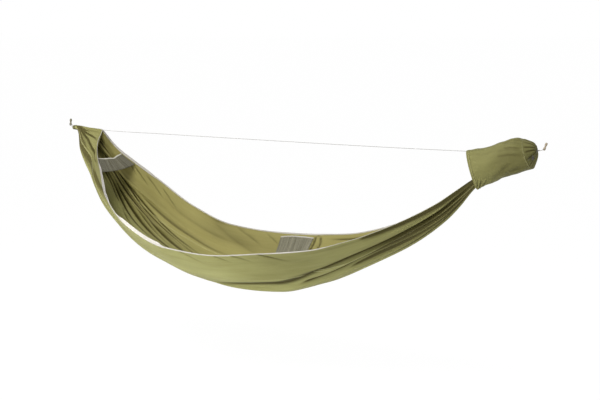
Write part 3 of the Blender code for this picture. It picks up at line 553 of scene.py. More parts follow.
def tubeAlong(name, line, radius, sides, material, swell=None):
    # rings of the radius, square to a line, carried along it without twist, with rounded ends;
    # swell multiplies the radius of each ring
    line = np.asarray(line, float)
    along = unit(np.gradient(line, axis=0))
    side = np.cross(along[0], [0.13, 0.21, 1.0])  # a direction that no piece starts in
    sideways = np.empty_like(line)
    for k, t in enumerate(along):
        side = unit(side - t * side.dot(t))
        sideways[k] = side
    up = np.cross(along, sideways)
    turn = fullTurn(sides)
    reach = radius * (np.ones(len(line)) if swell is None else swell)
    ring = np.cos(turn)[None, :, None] * sideways[:, None] + np.sin(turn)[None, :, None] * up[:, None]
    body = line[:, None] + ring * reach[:, None, None]
    # two smaller rings at each end: which end, which way, how far on and how large, in radii
    caps = ((0, -1, 0.75, 0.5), (0, -1, 0.4, 0.85), (-1, 1, 0.4, 0.85), (-1, 1, 0.75, 0.5))
    rounded = [
        line[k] + ring[k] * reach[k] * size + along[k] * sign * radius * rise
        for k, sign, rise, size in caps
    ]
    rings = np.concatenate([rounded[:2], body, rounded[2:]])
    length = lengthAlong(line)
    length = np.concatenate([length[:1], length[:1], length, length[-1:], length[-1:]])
    uv = mapPairs(length[:, None], turn[None] / (2 * math.pi))
    rows = len(rings)
    faces = gridQuads(rows, sides, True)
    maps = cornerMap(uv, True, (0.0, 1.0)).reshape(-1, 4, 2)
    start, end = ladder(np.arange(sides))[:, ::-1], ladder((rows - 1) * sides + np.arange(sides))
    flat = uv.reshape(-1, 2)
    faces = np.concatenate([faces, start, end])
    maps = np.concatenate([maps, flat[start], flat[end]])
    return meshFrom(name, rings.reshape(-1, 3), faces, maps, material)


def ringAround(name, profile, sides, material, openShare=0.4, shade=0.8):
    # a closed profile (n, 2), as distance along X and radius, or (n, sides, 2) where it changes
    # round the axis, turned about the line Y = 0, Z = chordZ
    profile = np.asarray(profile, float)
    if profile.ndim == 2:
        profile = np.repeat(profile[:, None], sides, axis=1)
    turn = fullTurn(sides)
    x, radius = profile[..., 0], profile[..., 1]
    points = aroundChord(x, radius, turn)
    rows = len(profile)
    i, j = np.meshgrid(np.arange(rows), np.arange(sides), indexing="ij")
    k, m = (j + 1) % sides, (i + 1) % rows
    faces = np.stack([i * sides + j, m * sides + j, m * sides + k, i * sides + k], axis=-1).reshape(-1, 4)
    lengths = np.concatenate([lengthAlong(points[:, 0]), [0]])[: rows + 1]
    lengths[rows] = lengths[rows - 1] + np.linalg.norm(points[-1, 0] - points[0, 0])
    around = 2 * math.pi * radius.mean() * np.arange(sides + 1) / sides
    u = [around[j], around[j], around[j + 1], around[j + 1]]
    v = [lengths[i], lengths[i + 1], lengths[i + 1], lengths[i]]
    maps = np.stack([np.stack(u, axis=-1), np.stack(v, axis=-1)], axis=-1).reshape(-1, 2)
    # the same painted shade over the whole ring
    state = np.tile([openShare, shade, 0.0], (rows * sides, 1))
    return meshFrom(name, points.reshape(-1, 3), faces, maps, material, state)


def overhand(x, direction, size, length, points):
    # a knot of three crossings round the chord, closed but for the last two points and drawn out
    # along it: its radius is size (2 + cos 3t) / 3 at the angle 2t, and it moves along by
    # length sin 3t / 2
    t = np.linspace(0, 2 * math.pi, points, endpoint=False)[: points - 2]
    radius = size * (2 + np.cos(3 * t)) / 3
    return aroundChord(x + direction * length / 2 * np.sin(3 * t), radius, 2 * t)


def settle(piece, body, slotName, *nodes):
    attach(piece, body)
    if nodes:
        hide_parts(*nodes)
    return piece


# The bed as it hangs, worked out from the frame's gathers

low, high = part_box("head_channel")
bedStart = high.x + 0.0003
chordZ = (low.z + high.z) / 2
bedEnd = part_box("foot_channel")[0].x - 0.0003
chord = bedEnd - bedStart

bedSettings = {
    "sideWidth": 0.275,
    "centreWidth": 0.550,
    "gather": 0.0105,  # radius of the middle of the gathered cloth
    "collar": 0.008,
    "edgeGap": 0.003,
    "cloth": 0.0009,
    "lowFrom": 0.04,
    "lowTo": 0.96,
    "crossPoints": 241,
    "cutShare": 0.70,  # the cut narrows in a curve towards both gathers
    # share of the chord, half width and drop of the edges; share and drop of the keel; belly
    "stations": [
        (0.0355, 0.0018, -0.003, 0.0190, 0.135, 0.036),
        (0.0680, 0.0030, 0.005, 0.0420, 0.255, 0.051),
        (0.0719, 0.0620, 0.064, 0.0655, 0.340, 0.054),
        (0.0806, 0.1040, 0.115, 0.0847, 0.420, 0.048),
        (0.1048, 0.1780, 0.195, 0.1138, 0.509, 0.025),
        (0.1471, 0.2950, 0.320, 0.1601, 0.604, 0.0),
        (0.2098, 0.3560, 0.450, 0.2308, 0.690, 0.0),
        (0.3038, 0.3780, 0.544, 0.3291, 0.768, 0.0),
        (0.4017, 0.3750, 0.565, 0.4225, 0.793, 0.0),
        (0.4996, 0.3150, 0.549, 0.5129, 0.789, 0.0),
        (0.5975, 0.2620, 0.521, 0.5954, 0.735, 0.0),
        (0.6758, 0.1900, 0.468, 0.6779, 0.637, 0.0),
        (0.7542, 0.1250, 0.386, 0.7643, 0.521, 0.0),
        (0.8325, 0.0680, 0.275, 0.8428, 0.372, 0.008),
        (0.8653, 0.0300, 0.211, 0.8711, 0.297, 0.008),
        (0.8912, 0.0070, 0.160, 0.9030, 0.196, 0.008),
        (0.9429, 0.0018, 0.078, 0.9504, 0.114, 0.013),
    ],
}
bedWidth = 2 * bedSettings["sideWidth"] + bedSettings["centreWidth"]
seamShare = bedSettings["sideWidth"] / bedWidth


def ramp(values, start, end):
    # 0 up to start, 1 from end, smooth between
    t = np.clip((values - start) / (end - start), 0, 1)
    return t * t * (3 - 2 * t)


def steadySlopes(knots, values):
    # harmonic means of the slopes on either side, so that nothing overshoots
    rise = np.diff(values, axis=0) / np.diff(knots)[:, None]
    slopes = np.zeros_like(values)
    slopes[0], slopes[-1] = rise[0], rise[-1]
    before, after = rise[:-1], rise[1:]
    same = before * after > 0
    total = np.where(same, before + after, 1.0)
    slopes[1:-1] = np.where(same, 2 * before * after / total, 0.0)
    return slopes


def bedTable(settings):
    radius, gap = settings["gather"], settings["edgeGap"] / 2
    belly = radius - gap / math.sqrt(2)
    collar = settings["collar"] / chord
    rows = [
        (0.0, gap, -radius, 0.0, radius, belly),
        (collar, gap, -radius, collar, radius, belly),
        *settings["stations"],
        (1 - collar, gap, -radius, 1 - collar, radius, belly),
        (1.0, gap, -radius, 1.0, radius, belly),
    ]
    table = np.array(rows)
    table[:, [0, 3]] = bedStart + chord * table[:, [0, 3]]
    table[:, [2, 4]] = chordZ - table[:, [2, 4]]
    return table


bedRows = bedTable(bedSettings)
# the length is the mean of those along the edge and along the keel
bedReach = (lengthAlong(bedRows[:, [0, 2]]) + lengthAlong(bedRows[:, [3, 4]])) / 2
bedLength = float(bedReach[-1])
bedKnots = bedReach / bedLength
bedSlopes = steadySlopes(bedKnots, bedRows)


def smoothBed(along, across):
    # a cross line for each row: Y is -(half width cos a + belly sin 2a (1 - low cos 2a)), and it
    # drops from the edges to the keel with sin a squared; then spaced by its own length
    settings = bedSettings
    row = throughKnots(bedKnots, bedRows, bedSlopes, along)
    edgeX, width, edgeZ, keelX, keelZ, belly = (row[:, [k]] for k in range(6))
    low = ramp(along, bedKnots[1], settings["lowFrom"])
    low = (low * (1 - ramp(along, settings["lowTo"], bedKnots[-2])))[:, None]
    a = np.linspace(0, math.pi, settings["crossPoints"])[None]
    drop = np.sin(a) ** 2
    swell = np.sin(2 * a) * (1 - low * np.cos(2 * a))
    line = np.stack(
        [
            edgeX + (keelX - edgeX) * drop,
            -(width * np.cos(a) + belly * swell),
            edgeZ + (keelZ - edgeZ) * drop,
        ],
        axis=-1,
    )
    step = np.linalg.norm(np.diff(line, axis=1), axis=2)
    length = np.concatenate([np.zeros((len(line), 1)), np.cumsum(step, axis=1)], axis=1)
    # one lookup for all rows: each row's lengths are moved to a stretch of their own, which is
    # longer than any of them
    apart = 10.0 * np.arange(len(line))[:, None]
    at = np.clip(across, 0, 1) * length[:, -1:] + apart
    table = (length + apart).ravel()
    found = np.stack([np.interp(at, table, line[..., k].ravel()) for k in range(3)], axis=-1)
    return found, length[:, -1]


def rowLengths(along):
    return smoothBed(along, np.zeros((len(along), 1)))[1]


# Pleats: share is the depth as a share of a pleat's width. Pleats grow from nothing between the
# two widths of opens, in metres, and between the two shares from the edge of starts; they go
# between the shares along of head, and come back between those of foot

foldSettings = {
    "broad": {"count": 8, "share": 0.15, "slack": 0.03, "opens": (0.07, 0.30), "starts": (0.03, 0.22),
              "head": (0.10, 0.36), "foot": (0.55, 0.86),
              # the outside of the hood is drawn smooth over these shares across and along
              "hood": ((0.28, 0.42), (0.12, 0.26)), "calm": 0.85},
    "fine": {"count": 27, "share": 0.30, "opens": (0.065, 0.16), "starts": (0.006, 0.05),
             "head": (0.015, 0.08), "foot": (0.80, 0.93)},
    "waves": {"depth": 0.0027, "along": 31.0, "across": 5.0},
    # loose creases near both gathers: how many, over which shares of the width, and how far
    "headFan": {"count": 12, "seed": 11, "across": (0.30, 0.60), "from": 0.03, "to": (0.16, 0.34),
                "depth": (0.003, 0.008), "breadth": (0.004, 0.009)},
    "footFan": {"count": 13, "seed": 23, "across": (0.05, 0.95), "from": 0.97, "to": (0.56, 0.80),
                "depth": (0.003, 0.009), "breadth": (0.004, 0.009)},
}

# Single creases: depth out of the bed, breadths on their two sides, how much painted shade the
# cloth gets in them, and points (share along, share across) that each one passes; the fades are
# shares of a crease's length over which it deepens and dies out; lines of almost no depth are
# painted shade alone
bedCreases = [
    # under the head pocket, seen from inside
    {"fades": (0.2, 0.45), "lines": (
        (0.01, 0.005, 0.006, 0.45, ((0.05, 0.615), (0.087, 0.64), (0.11, 0.625), (0.146, 0.562),
            (0.19, 0.53))),
        (0.013, 0.004, 0.008, 0.5, ((0.05, 0.64), (0.087, 0.66), (0.12, 0.642), (0.16, 0.605),
            (0.23, 0.57))),
        (0.015, 0.004, 0.009, 0.6, ((0.05, 0.66), (0.091, 0.683), (0.139, 0.664), (0.198, 0.632),
            (0.29, 0.59))),
        (0.008, 0.003, 0.005, 0.4, ((0.06, 0.68), (0.11, 0.698), (0.16, 0.688), (0.22, 0.652),
            (0.28, 0.62))),
        (0.019, 0.005, 0.013, 0.6, ((0.06, 0.7), (0.099, 0.722), (0.164, 0.712), (0.227, 0.672),
            (0.33, 0.62))),
        (0.007, 0.003, 0.005, 0.35, ((0.08, 0.74), (0.12, 0.752), (0.18, 0.724), (0.24, 0.69),
            (0.31, 0.65))),
        (0.013, 0.004, 0.008, 0.55, ((0.07, 0.76), (0.113, 0.788), (0.188, 0.737), (0.245, 0.704),
            (0.35, 0.64))),
        (0.009, 0.004, 0.007, 0.35, ((0.1, 0.8), (0.15, 0.785), (0.215, 0.745), (0.284, 0.7),
            (0.36, 0.66))),
        (0.006, 0.009, 0.018, 0.15, ((0.11, 0.84), (0.184, 0.8), (0.291, 0.78), (0.42, 0.75))),
    )},
    # the shade in the deep part of the head end
    {"fades": (0.3, 0.5), "lines": (
        (0.001, 0.1, 0.09, 0.3, ((0.08, 0.6), (0.2, 0.61), (0.3, 0.59), (0.52, 0.6))),
    )},
    # inside the hood
    {"fades": (0.2, 0.4), "lines": (
        (0.008, 0.004, 0.005, 0.6, ((0.03, 0.91), (0.061, 0.885), (0.09, 0.87))),
        (0.01, 0.005, 0.006, 0.7, ((0.03, 0.88), (0.061, 0.85), (0.1, 0.835))),
        (0.01, 0.005, 0.006, 0.7, ((0.035, 0.83), (0.07, 0.812), (0.11, 0.8))),
        (0.01, 0.005, 0.006, 0.7, ((0.035, 0.77), (0.073, 0.755), (0.11, 0.745))),
    )},
    # puckers under the far edge, and slack folds across the far side
    {"fades": (0.22, 0.4), "lines": (
        (0.004, 0.004, 0.008, 0.25, ((0.138, 0.968), (0.152, 0.945), (0.168, 0.9))),
        (0.004, 0.004, 0.008, 0.25, ((0.158, 0.968), (0.17, 0.94), (0.19, 0.895))),
        (0.003, 0.004, 0.008, 0.2, ((0.18, 0.968), (0.195, 0.94), (0.222, 0.89))),
        (0.003, 0.004, 0.008, 0.15, ((0.21, 0.965), (0.225, 0.94), (0.25, 0.9))),
        (0.005, 0.018, 0.034, 0.08, ((0.2, 0.915), (0.29, 0.89), (0.4, 0.88))),
        (0.005, 0.024, 0.045, 0.12, ((0.31, 0.995), (0.345, 0.945), (0.375, 0.895), (0.45, 0.775))),
        (0.004, 0.05, 0.08, 0.24, ((0.28, 0.93), (0.38, 0.9), (0.47, 0.87), (0.56, 0.86))),
        (0.004, 0.01, 0.022, 0.04, ((0.37, 0.985), (0.395, 0.95), (0.43, 0.88))),
        (0.003, 0.008, 0.014, 0.04, ((0.43, 0.98), (0.442, 0.955), (0.462, 0.9))),
        (0.004, 0.005, 0.006, 0.35, ((0.552, 0.96), (0.64, 0.945), (0.74, 0.93))),
    )},
    # where the wall pocket pulls the far side in: these run across, so each point is (share
    # across, share along)
    {"fades": (0.05, 0.1), "crosswise": True, "lines": (
        # painted shadow along the pocket's edge and beside its ruffle
        (0.006, 0.004, 0.008, 1.0, ((0.78, 0.518), (0.88, 0.527), (0.93, 0.5325), (0.985, 0.5365))),
        (-0.009, 0.007, 0.008, 0.0, ((0.78, 0.526), (0.88, 0.535), (0.93, 0.54), (0.985, 0.541))),
        (0.005, 0.004, 0.006, 0.75, ((0.78, 0.533), (0.88, 0.542), (0.93, 0.5465), (0.985, 0.545))),
    )},
    # the deep crease under the near seam and those that run from it to the foot
    {"fades": (0.1, 0.1), "lines": (
        (-0.026, 0.005, 0.015, 0.5, ((0.375, 0.4), (0.433, 0.328), (0.47, 0.302), (0.501, 0.295),
            (0.531, 0.296), (0.563, 0.28), (0.6, 0.236), (0.65, 0.206), (0.7, 0.195), (0.76, 0.18),
            (0.83, 0.168), (0.98, 0.165))),
        (-0.016, 0.006, 0.012, 0.8, ((0.56, 0.33), (0.64, 0.292), (0.69, 0.27), (0.75, 0.25),
            (0.8, 0.262), (0.89, 0.29), (0.98, 0.3))),
        (-0.01, 0.006, 0.012, 0.4, ((0.645, 0.345), (0.74, 0.335), (0.79, 0.347), (0.89, 0.4),
            (0.98, 0.41))),
        (-0.012, 0.008, 0.014, 0.9, ((0.68, 0.014), (0.74, 0.026), (0.8, 0.04), (0.85, 0.045),
            (0.98, 0.055))),
        (0.007, 0.003, 0.004, 0.0, ((0.61, 0.258), (0.7, 0.232), (0.78, 0.22), (0.88, 0.225))),
    )},
    # the slack that hangs out below the deep crease
    {"fades": (0.45, 0.5), "lines": (
        (0.02, 0.026, 0.055, 0.0, ((0.33, 0.42), (0.45, 0.375), (0.55, 0.365), (0.68, 0.32))),
    )},
    # broad shadows where the near side starts to narrow
    {"fades": (0.25, 0.45), "lines": (
        (-0.003, 0.01, 0.01, 0.55, ((0.48, 0.29), (0.536, 0.276), (0.562, 0.254), (0.586, 0.234),
            (0.62, 0.218), (0.68, 0.198), (0.76, 0.178))),
        (-0.01, 0.014, 0.022, 0.2, ((0.56, 0.345), (0.62, 0.325), (0.69, 0.31), (0.8, 0.32))),
        (-0.001, 0.02, 0.018, 0.45, ((0.67, 0.24), (0.72, 0.228), (0.78, 0.222), (0.88, 0.23),
            (1.1, 0.24))),
        (-0.001, 0.05, 0.06, 0.35, ((0.68, 0.35), (0.74, 0.38), (0.8, 0.39), (0.9, 0.42), (1.2, 0.43))),
        (-0.005, 0.04, 0.055, 0.08, ((0.5, 0.05), (0.59, 0.115), (0.66, 0.13))),
        (-0.001, 0.16, 0.12, 0.34, ((0.42, 0.16), (0.56, 0.13), (0.7, 0.11), (1.0, 0.1))),
        (-0.001, 0.0055, 0.006, 1.2, ((0.385, 0.372), (0.433, 0.314), (0.47, 0.288), (0.501, 0.281),
            (0.531, 0.282), (0.563, 0.268), (0.6, 0.228), (0.68, 0.19))),
        (-0.001, 0.004, 0.005, 0.9, ((0.385, 0.41), (0.433, 0.345), (0.47, 0.32), (0.501, 0.312),
            (0.531, 0.312), (0.563, 0.296), (0.6, 0.25), (0.68, 0.205))),
    )},
    # soft folds that hang from the near edge
    {"fades": (0.1, 0.7), "lines": (
        (-0.005, 0.006, 0.014, 0.08, ((0.39, 0.004), (0.405, 0.04), (0.43, 0.09))),
        (-0.004, 0.006, 0.014, 0.12, ((0.452, 0.003), (0.463, 0.03), (0.48, 0.075))),
        (-0.004, 0.006, 0.014, 0.12, ((0.48, 0.003), (0.492, 0.03), (0.512, 0.08))),
        (-0.005, 0.006, 0.014, 0.08, ((0.52, 0.003), (0.545, 0.05), (0.57, 0.09))),
    )},
    # outside of the hood, from the gather down
    {"fades": (0.05, 0.5), "lines": (
        (-0.006, 0.003, 0.004, 0.6, ((0.002, 0.04), (0.021, 0.056), (0.05, 0.05))),
        (-0.007, 0.003, 0.004, 0.7, ((0.002, 0.075), (0.021, 0.088), (0.042, 0.09), (0.075, 0.112))),
        (-0.008, 0.004, 0.006, 0.6, ((0.002, 0.1), (0.023, 0.115), (0.043, 0.142), (0.066, 0.193),
            (0.125, 0.08))),
        (0.005, 0.006, 0.006, 0.0, ((0.002, 0.14), (0.023, 0.158), (0.041, 0.182), (0.062, 0.223),
            (0.103, 0.152), (0.15, 0.08))),
        (-0.004, 0.022, 0.03, 0.75, ((0.002, 0.29), (0.039, 0.265), (0.062, 0.288), (0.089, 0.265),
            (0.121, 0.205), (0.16, 0.18), (0.23, 0.11))),
        (0.003, 0.06, 0.13, 0.0, ((0.0, 0.25), (0.04, 0.26), (0.09, 0.25), (0.19, 0.15))),
        # painted shade over the whole outside of the hood
        (-0.001, 0.14, 0.14, 0.6, ((0.0, 0.1), (0.04, 0.1), (0.09, 0.1), (0.23, 0.08))),
    )},
]


def fan(along, across, length, settings):
    # narrow valleys, each a bell curve across the cloth that fades out at its own length
    draw = np.random.default_rng(settings["seed"])
    count = settings["count"]
    first, last = settings["across"]
    middle = first + (last - first) * (np.arange(count) + draw.uniform(0.15, 0.85, count)) / count
    end = draw.uniform(*settings["to"], count)
    depth = draw.uniform(*settings["depth"], count)
    breadth = draw.uniform(*settings["breadth"], count)
    drift = draw.uniform(-0.04, 0.04, count)
    total = np.zeros(across.shape)
    start = settings["from"]
    for k in range(count):
        gone = (along - start) / (end[k] - start)
        strength = ramp(gone, -0.05, 0.25) * (1 - ramp(gone, 0.45, 1.0))
        centre = middle[k] + drift[k] * gone
        bell = np.exp(-(((across - centre) * length / breadth[k]) ** 2))
        total = total + depth[k] * strength * bell
    return total


def creased(first, second, scale, breadths, path, fades):
    # one crease of depth 1: a bell curve, with a breadth below its middle and one above, whose
    # middle passes the points of its path; scale is metres for each unit of the second share
    path = np.array(path, float)
    slopes = np.gradient(path, path[:, 0], axis=0)
    at = np.clip(first.ravel(), path[0, 0], path[-1, 0])
    centre = throughKnots(path[:, 0], path, slopes, at)[:, 1].reshape(first.shape)
    gone = (first - path[0, 0]) / (path[-1, 0] - path[0, 0])
    strength = ramp(gone, 0, fades[0]) * (1 - ramp(gone, 1 - fades[1], 1))
    off = (second - centre) * scale
    return strength * np.exp(-((off / np.where(off < 0, *breadths)) ** 2))


def creasesAt(along, across, length, spread):
    # depth, shade and bell curve of every single crease, with its breadths times spread
    found = []
    for group in bedCreases:
        first, second, scale = along[:, None], across, length[:, None]
        if group.get("crosswise"):
            first, second, scale = across, along[:, None], bedLength
        for depth, below, above, shade, path in group["lines"]:
            breadths = (below * spread, above * spread)
            found.append((depth, shade, creased(first, second, scale, breadths, path, group["fades"])))
    return found


def gathering(column, pleats):
    # 1 at both gathers, 0 where the pleats have opened
    return np.maximum(1 - ramp(column, *pleats["head"]), ramp(column, *pleats["foot"]))


def foldHeight(along, across, length):
    # how far the cloth stands out of the smooth bed, along its outward normal: broad and fine
    # pleats that open out of both gathers, loose and single creases, and slow waves in the middle
    s = foldSettings
    column, width = along[:, None], length[:, None]
    inward = np.minimum(across, 1 - across)
    broad = s["broad"]
    gathered = broad["slack"] + (1 - broad["slack"]) * gathering(column, broad)
    wave = 2 * (np.abs(np.cos(math.pi * broad["count"] * across)) ** 0.9 - 1)
    calm = (1 - ramp(across, *broad["hood"][0])) * (1 - ramp(column, *broad["hood"][1]))
    gathered = gathered * ramp(width, *broad["opens"]) * ramp(inward, *broad["starts"])
    height = broad["share"] * width / broad["count"] * gathered * (1 - broad["calm"] * calm) * wave
    fine = s["fine"]
    phase = fine["count"] * across + 0.34 * np.sin(19 * across + 1.3) + 0.2 * np.sin(41 * across)
    sharp = np.abs(np.cos(math.pi * phase)) ** 0.8 - 1
    gathered = gathering(column, fine) * ramp(width, *fine["opens"]) * ramp(inward, *fine["starts"])
    height = height + fine["share"] * width / fine["count"] * gathered * sharp
    narrow = np.minimum(1, width / 0.30) * ramp(inward, 0.0, 0.012)
    for loose in (s["headFan"], s["footFan"]):
        height = height - fan(column, across, width, loose) * narrow
    for depth, _, crease in creasesAt(along, across, length, 1.0):
        height = height + depth * crease * narrow
    slow = s["waves"]
    middle = ramp(column, 0.16, 0.3) * (1 - ramp(column, 0.7, 0.86))
    ripple = np.sin(slow["along"] * column + 3 * np.sin(slow["across"] * across) + 9 * across)
    ripple = ripple * np.sin(17 * column - 8 * across + 0.7)
    return height + slow["depth"] * middle * (ripple - 1) * ramp(inward, 0.0, 0.04)


def outward(surface, along, across):
    # unit normals of a surface over shares along and across, from its slopes
    step = 1e-4
    down = surface(np.clip(along + step, 0, 1), across) - surface(np.clip(along - step, 0, 1), across)
    over = surface(along, np.clip(across + step, 0, 1)) - surface(along, np.clip(across - step, 0, 1))
    return unit(np.cross(over, down))


def foldedBed(along, across):
    flat, length = smoothBed(along, across)
    normals = outward(lambda a, c: smoothBed(a, c)[0], along, across)
    return flat + normals * foldHeight(along, across, length)[..., None]


def bedLines(count):
    # shares of the bed's length, closer together towards both gathers
    even = np.linspace(0, 1, count)
    return 0.45 * even + 0.55 * (1 - np.cos(math.pi * even)) / 2


def bedPoints(along, metres, share):
    # points and normals at distances in metres, across, from the line at a share of the width
    across = share + metres / rowLengths(along)[:, None]
    return foldedBed(along, across), outward(foldedBed, along, across)


# painted shade in the bed's folds:
darkness = {
    "reach": 0.014,  # metres to the neighbours that a point is compared with
    "reachShare": 0.06,  # the most that this may be of the width
    "full": 0.009,  # the depth that is wholly dark
    "spread": 1.15,  # breadth of a crease's shade, for a crease 1 wide
}


def foldDepth(along, across):
    # painted shade on both sides: how far a point lies below the mean of two neighbours, as a share
    # of the full depth, and the painted shades of the single creases, each on the side where it is a valley
    length = rowLengths(along)
    step = (np.minimum(darkness["reach"], length * darkness["reachShare"]) / length)[:, None]
    sides = foldHeight(along, across + step, length) + foldHeight(along, across - step, length)
    bend = (sides / 2 - foldHeight(along, across, length)) / darkness["full"]
    outer = inner = 0.0
    for depth, shade, crease in creasesAt(along, across, length, darkness["spread"]):
        if depth < 0:
            outer = outer + shade * crease
        else:
            inner = inner + shade * crease
    return foldSides(bend, outer, inner), length


def bedPiece(name, along, across, thickness, uv, material, shadeShare=1.0):
    # a panel or strip of the bed on a grid of shares along and across
    points = foldedBed(along, across)
    normals = gridNormals(points)
    folds, length = foldDepth(along, across)
    # state: how open the cloth is, painted shade from folds and creases (shadeShare of it), and painted warm
    # light through the cloth on the inside, growing towards the far side
    state = (ramp(length, 0.10, 0.75)[:, None], np.array(folds) * shadeShare, ramp(across, 0.50, 0.80))
    return thickSheet(name, points, normals, thickness, uv, material, state=state)


olive = clothPaint("olive_ripstop", clothSettings)
felled = clothPaint("olive_felled_seam", clothSettings, [0.0018, 0.0072])
tape = tapePaint("grey_tape", tapeSettings)
plaited = cordPaint("grey_plaited_cord", (0.62, 0.60, 0.55), (0.34, 0.32, 0.28), 0.0026)
darkCord = cordPaint("dark_thin_cord", (0.120, 0.112, 0.070), (0.050, 0.046, 0.028), 0.0018)
fineCord = cordPaint("grey_thin_cord", (0.48, 0.47, 0.44), (0.28, 0.27, 0.25), 0.0018)


# Edge tapes: how wide each shows, how far it leans in over the opening, where it is turned
# under the cloth, and where it is in shade, at shares along the bed

edgeTapes = {
    "near_edge_tape": {
        # side is the sign of the way from the edge into the cloth, share where the edge lies
        "node": "near_binding", "side": 1, "share": 0.0,
        "at": (0.0, 0.06, 0.085, 0.14, 0.16, 0.192, 0.212, 0.23,
               0.245, 0.27, 0.345, 0.368, 0.45, 0.6, 0.66, 1.0),
        "show": (0.5, 0.38, 0.35, 0.5, 1.3, 1.6, 1.3, 0.6, 0.6, 1.7, 1.7, 0.6, 0.5, 0.5, 0.35, 0.4),
        "lean": (0, 0, 0, 10, 40, 52, 40, 22, 30, 62, 66, 25, 15, 20, 20, 0),
        "under": (1, 1, 0, 0, 0, 0, 0, 0, 0, 0, 0, 0, 0, 0, 1, 1),
        "shade": (0, 0.2, 0.3, 0.7, 0.75, 0.75, 0.75, 0.4, 0.2, 0, 0, 0, 0, 0, 0, 0),
    },
    "far_edge_tape": {
        "node": "far_binding", "side": -1, "share": 1.0,
        "at": (0.0, 0.05, 0.07, 0.1, 0.18, 0.205, 0.3, 0.44, 0.47, 0.53, 0.56, 0.7, 0.76, 1.0),
        "show": (0.5, 0.6, 1.1, 1.45, 1.5, 0.75, 0.55, 0.55, 0.8, 0.8, 0.55, 0.5, 0.4, 0.4),
        "lean": (0, 0, 0, -8, -8, 10, 25, 20, 0, 0, 20, 20, 20, 0),
        "under": (1, 1, 0, 0, 0, 0, 0, 0, 0, 0, 0, 0, 1, 1),
        "shade": (0,) * 14,
    },
}
tapeRows = bedLines(520)


def tapeLook(along, look):
    # the four values at each row, eased between the listed shares
    at = np.array(look["at"], float)
    k = np.clip(np.searchsorted(at, along, side="right") - 1, 0, len(at) - 2)
    gone = ramp(along, at[k], at[k + 1])
    lists = (np.array(look[key], float) for key in ("show", "lean", "under", "shade"))
    return [values[k] + (values[k + 1] - values[k]) * gone for values in lists]


def clothStart(along, look):
    # where the bare cloth begins, in metres from the edge
    show, _, under, _ = tapeLook(along, look)
    return tapeSettings["width"] * np.minimum(show, 1) * (1 - under) + tapeSettings["fromEdge"]


def edgeTape(name, look):
    # a strip that starts where the cloth ends, leans in over the opening and bulges a little;
    # where it is turned under, it lies on the cloth's outside
    s = tapeSettings
    side, share, width = look["side"], look["share"], s["width"]
    show, lean, under, shade = tapeLook(tapeRows, look)
    base = (width * np.minimum(show, 1))[:, None]
    foot, normals = (found[:, 0] for found in bedPoints(tapeRows, side * base, share))
    edge = bedPoints(tapeRows, side * s["fromEdge"] + 0 * base, share)[0][:, 0]
    wave = s["waver"] * np.sin(46 * tapeRows + 2 * np.sin(23 * tapeRows)) * ramp(tapeRows, 0.1, 0.2)
    tilt = np.radians(lean + wave * (1 - under))[:, None]
    leaning = unit(edge - foot) * np.cos(tilt) - normals * np.sin(tilt)
    face = unit(np.cross(unit(np.gradient(foot, axis=0)), leaning) * side)
    face *= np.sign((face * normals).sum(axis=1, keepdims=True))
    tucked = -normals * (under * (s["thickness"] / 2 + bedSettings["cloth"] / 2 + s["tuckGap"]))[:, None]
    steps = np.linspace(0, 1, 9)
    reach = (width * show)[:, None] * steps
    points = (foot + tucked)[:, None] + leaning[:, None] * reach[..., None]
    bulge = s["bulge"] * np.sin(math.pi * steps) * (0.5 + 0.5 * np.sin(61 * tapeRows))[:, None]
    points = points + face[:, None] * (bulge * (1 - under)[:, None])[..., None]
    if side == 1:
        points, steps = points[:, ::-1], steps[::-1]
    uv = mapPairs(tapeRows[:, None] * bedLength, width * steps)
    faces = np.broadcast_to(face[:, None], points.shape)
    state = (1.0, np.array([shade, shade])[..., None], 0.0)
    piece = thickSheet(name, points, faces, s["thickness"], uv, tape, state=state)
    settle(piece, "bed", "grey_tape", look["node"])


print("stage: bed panels")
panelSettings = {
    "near_side_cloth": {"node": "near_panel", "rows": 500, "columns": 92, "width": "sideWidth"},
    "centre_cloth": {"node": "centre_panel", "rows": 260, "columns": 186, "width": "centreWidth"},
    "far_side_cloth": {"node": "far_panel", "rows": 500, "columns": 92, "width": "sideWidth"},
}
slitWidth = 0.0003


def bedPanel(name, order, look):
    # order is 0 for the panel at the near edge; the lines are the two sides of every panel
    rows = bedLines(look["rows"])
    lengths = rowLengths(rows)
    slit = slitWidth / 2 / lengths
    near, far = (clothStart(rows, edgeTapes[edge]) / lengths for edge in ("near_edge_tape", "far_edge_tape"))
    lines = (near, seamShare - slit, seamShare + slit, 1 - seamShare - slit, 1 - seamShare + slit, 1 - far)
    start, end = lines[2 * order][:, None], lines[2 * order + 1][:, None]
    across = start + (end - start) * np.linspace(0, 1, look["columns"])
    uv = mapPairs(rows[:, None] * bedLength, across * bedWidth)
    piece = bedPiece(name, rows, across, bedSettings["cloth"], uv, olive)
    return settle(piece, "bed", "olive_cloth", look["node"])


panels = {name: bedPanel(name, order, look) for order, (name, look) in enumerate(panelSettings.items())}

print("stage: felled seams")
seamSettings = {"rows": 340, "width": 0.009, "thickness": 0.0021, "columns": 7, "shade": 0.55}


def felledSeam(name, share, settings):
    # a raised strip, thinner towards its edges and narrower where the cloth is gathered
    rows, width = bedLines(settings["rows"]), settings["width"]
    metres = np.linspace(-width / 2, width / 2, settings["columns"])
    length = rowLengths(rows)[:, None]
    size = np.minimum(1, length / 0.25)
    uv = mapPairs(rows[:, None] * bedLength, metres + width / 2)
    edge = np.abs(np.linspace(-1, 1, settings["columns"]))
    thick = settings["thickness"] * (1 - 0.45 * edge**4) * (0.6 + 0.4 * size)
    across = share + metres * size / length
    piece = bedPiece(name, rows, across, thick, uv, felled, settings["shade"])
    return settle(piece, "bed", "olive_cloth")


seamLines = {"near_seam": seamShare, "far_seam": 1 - seamShare}
seams = [felledSeam(name, share, seamSettings) for name, share in seamLines.items()]
for name, piece in panels.items():
    seams if name == "centre_cloth" else []

print("stage: edge tapes")
for name, look in edgeTapes.items():
    edgeTape(name, look)


# Gathered ends: puckered channels, and four turns of thin cord round each bundle

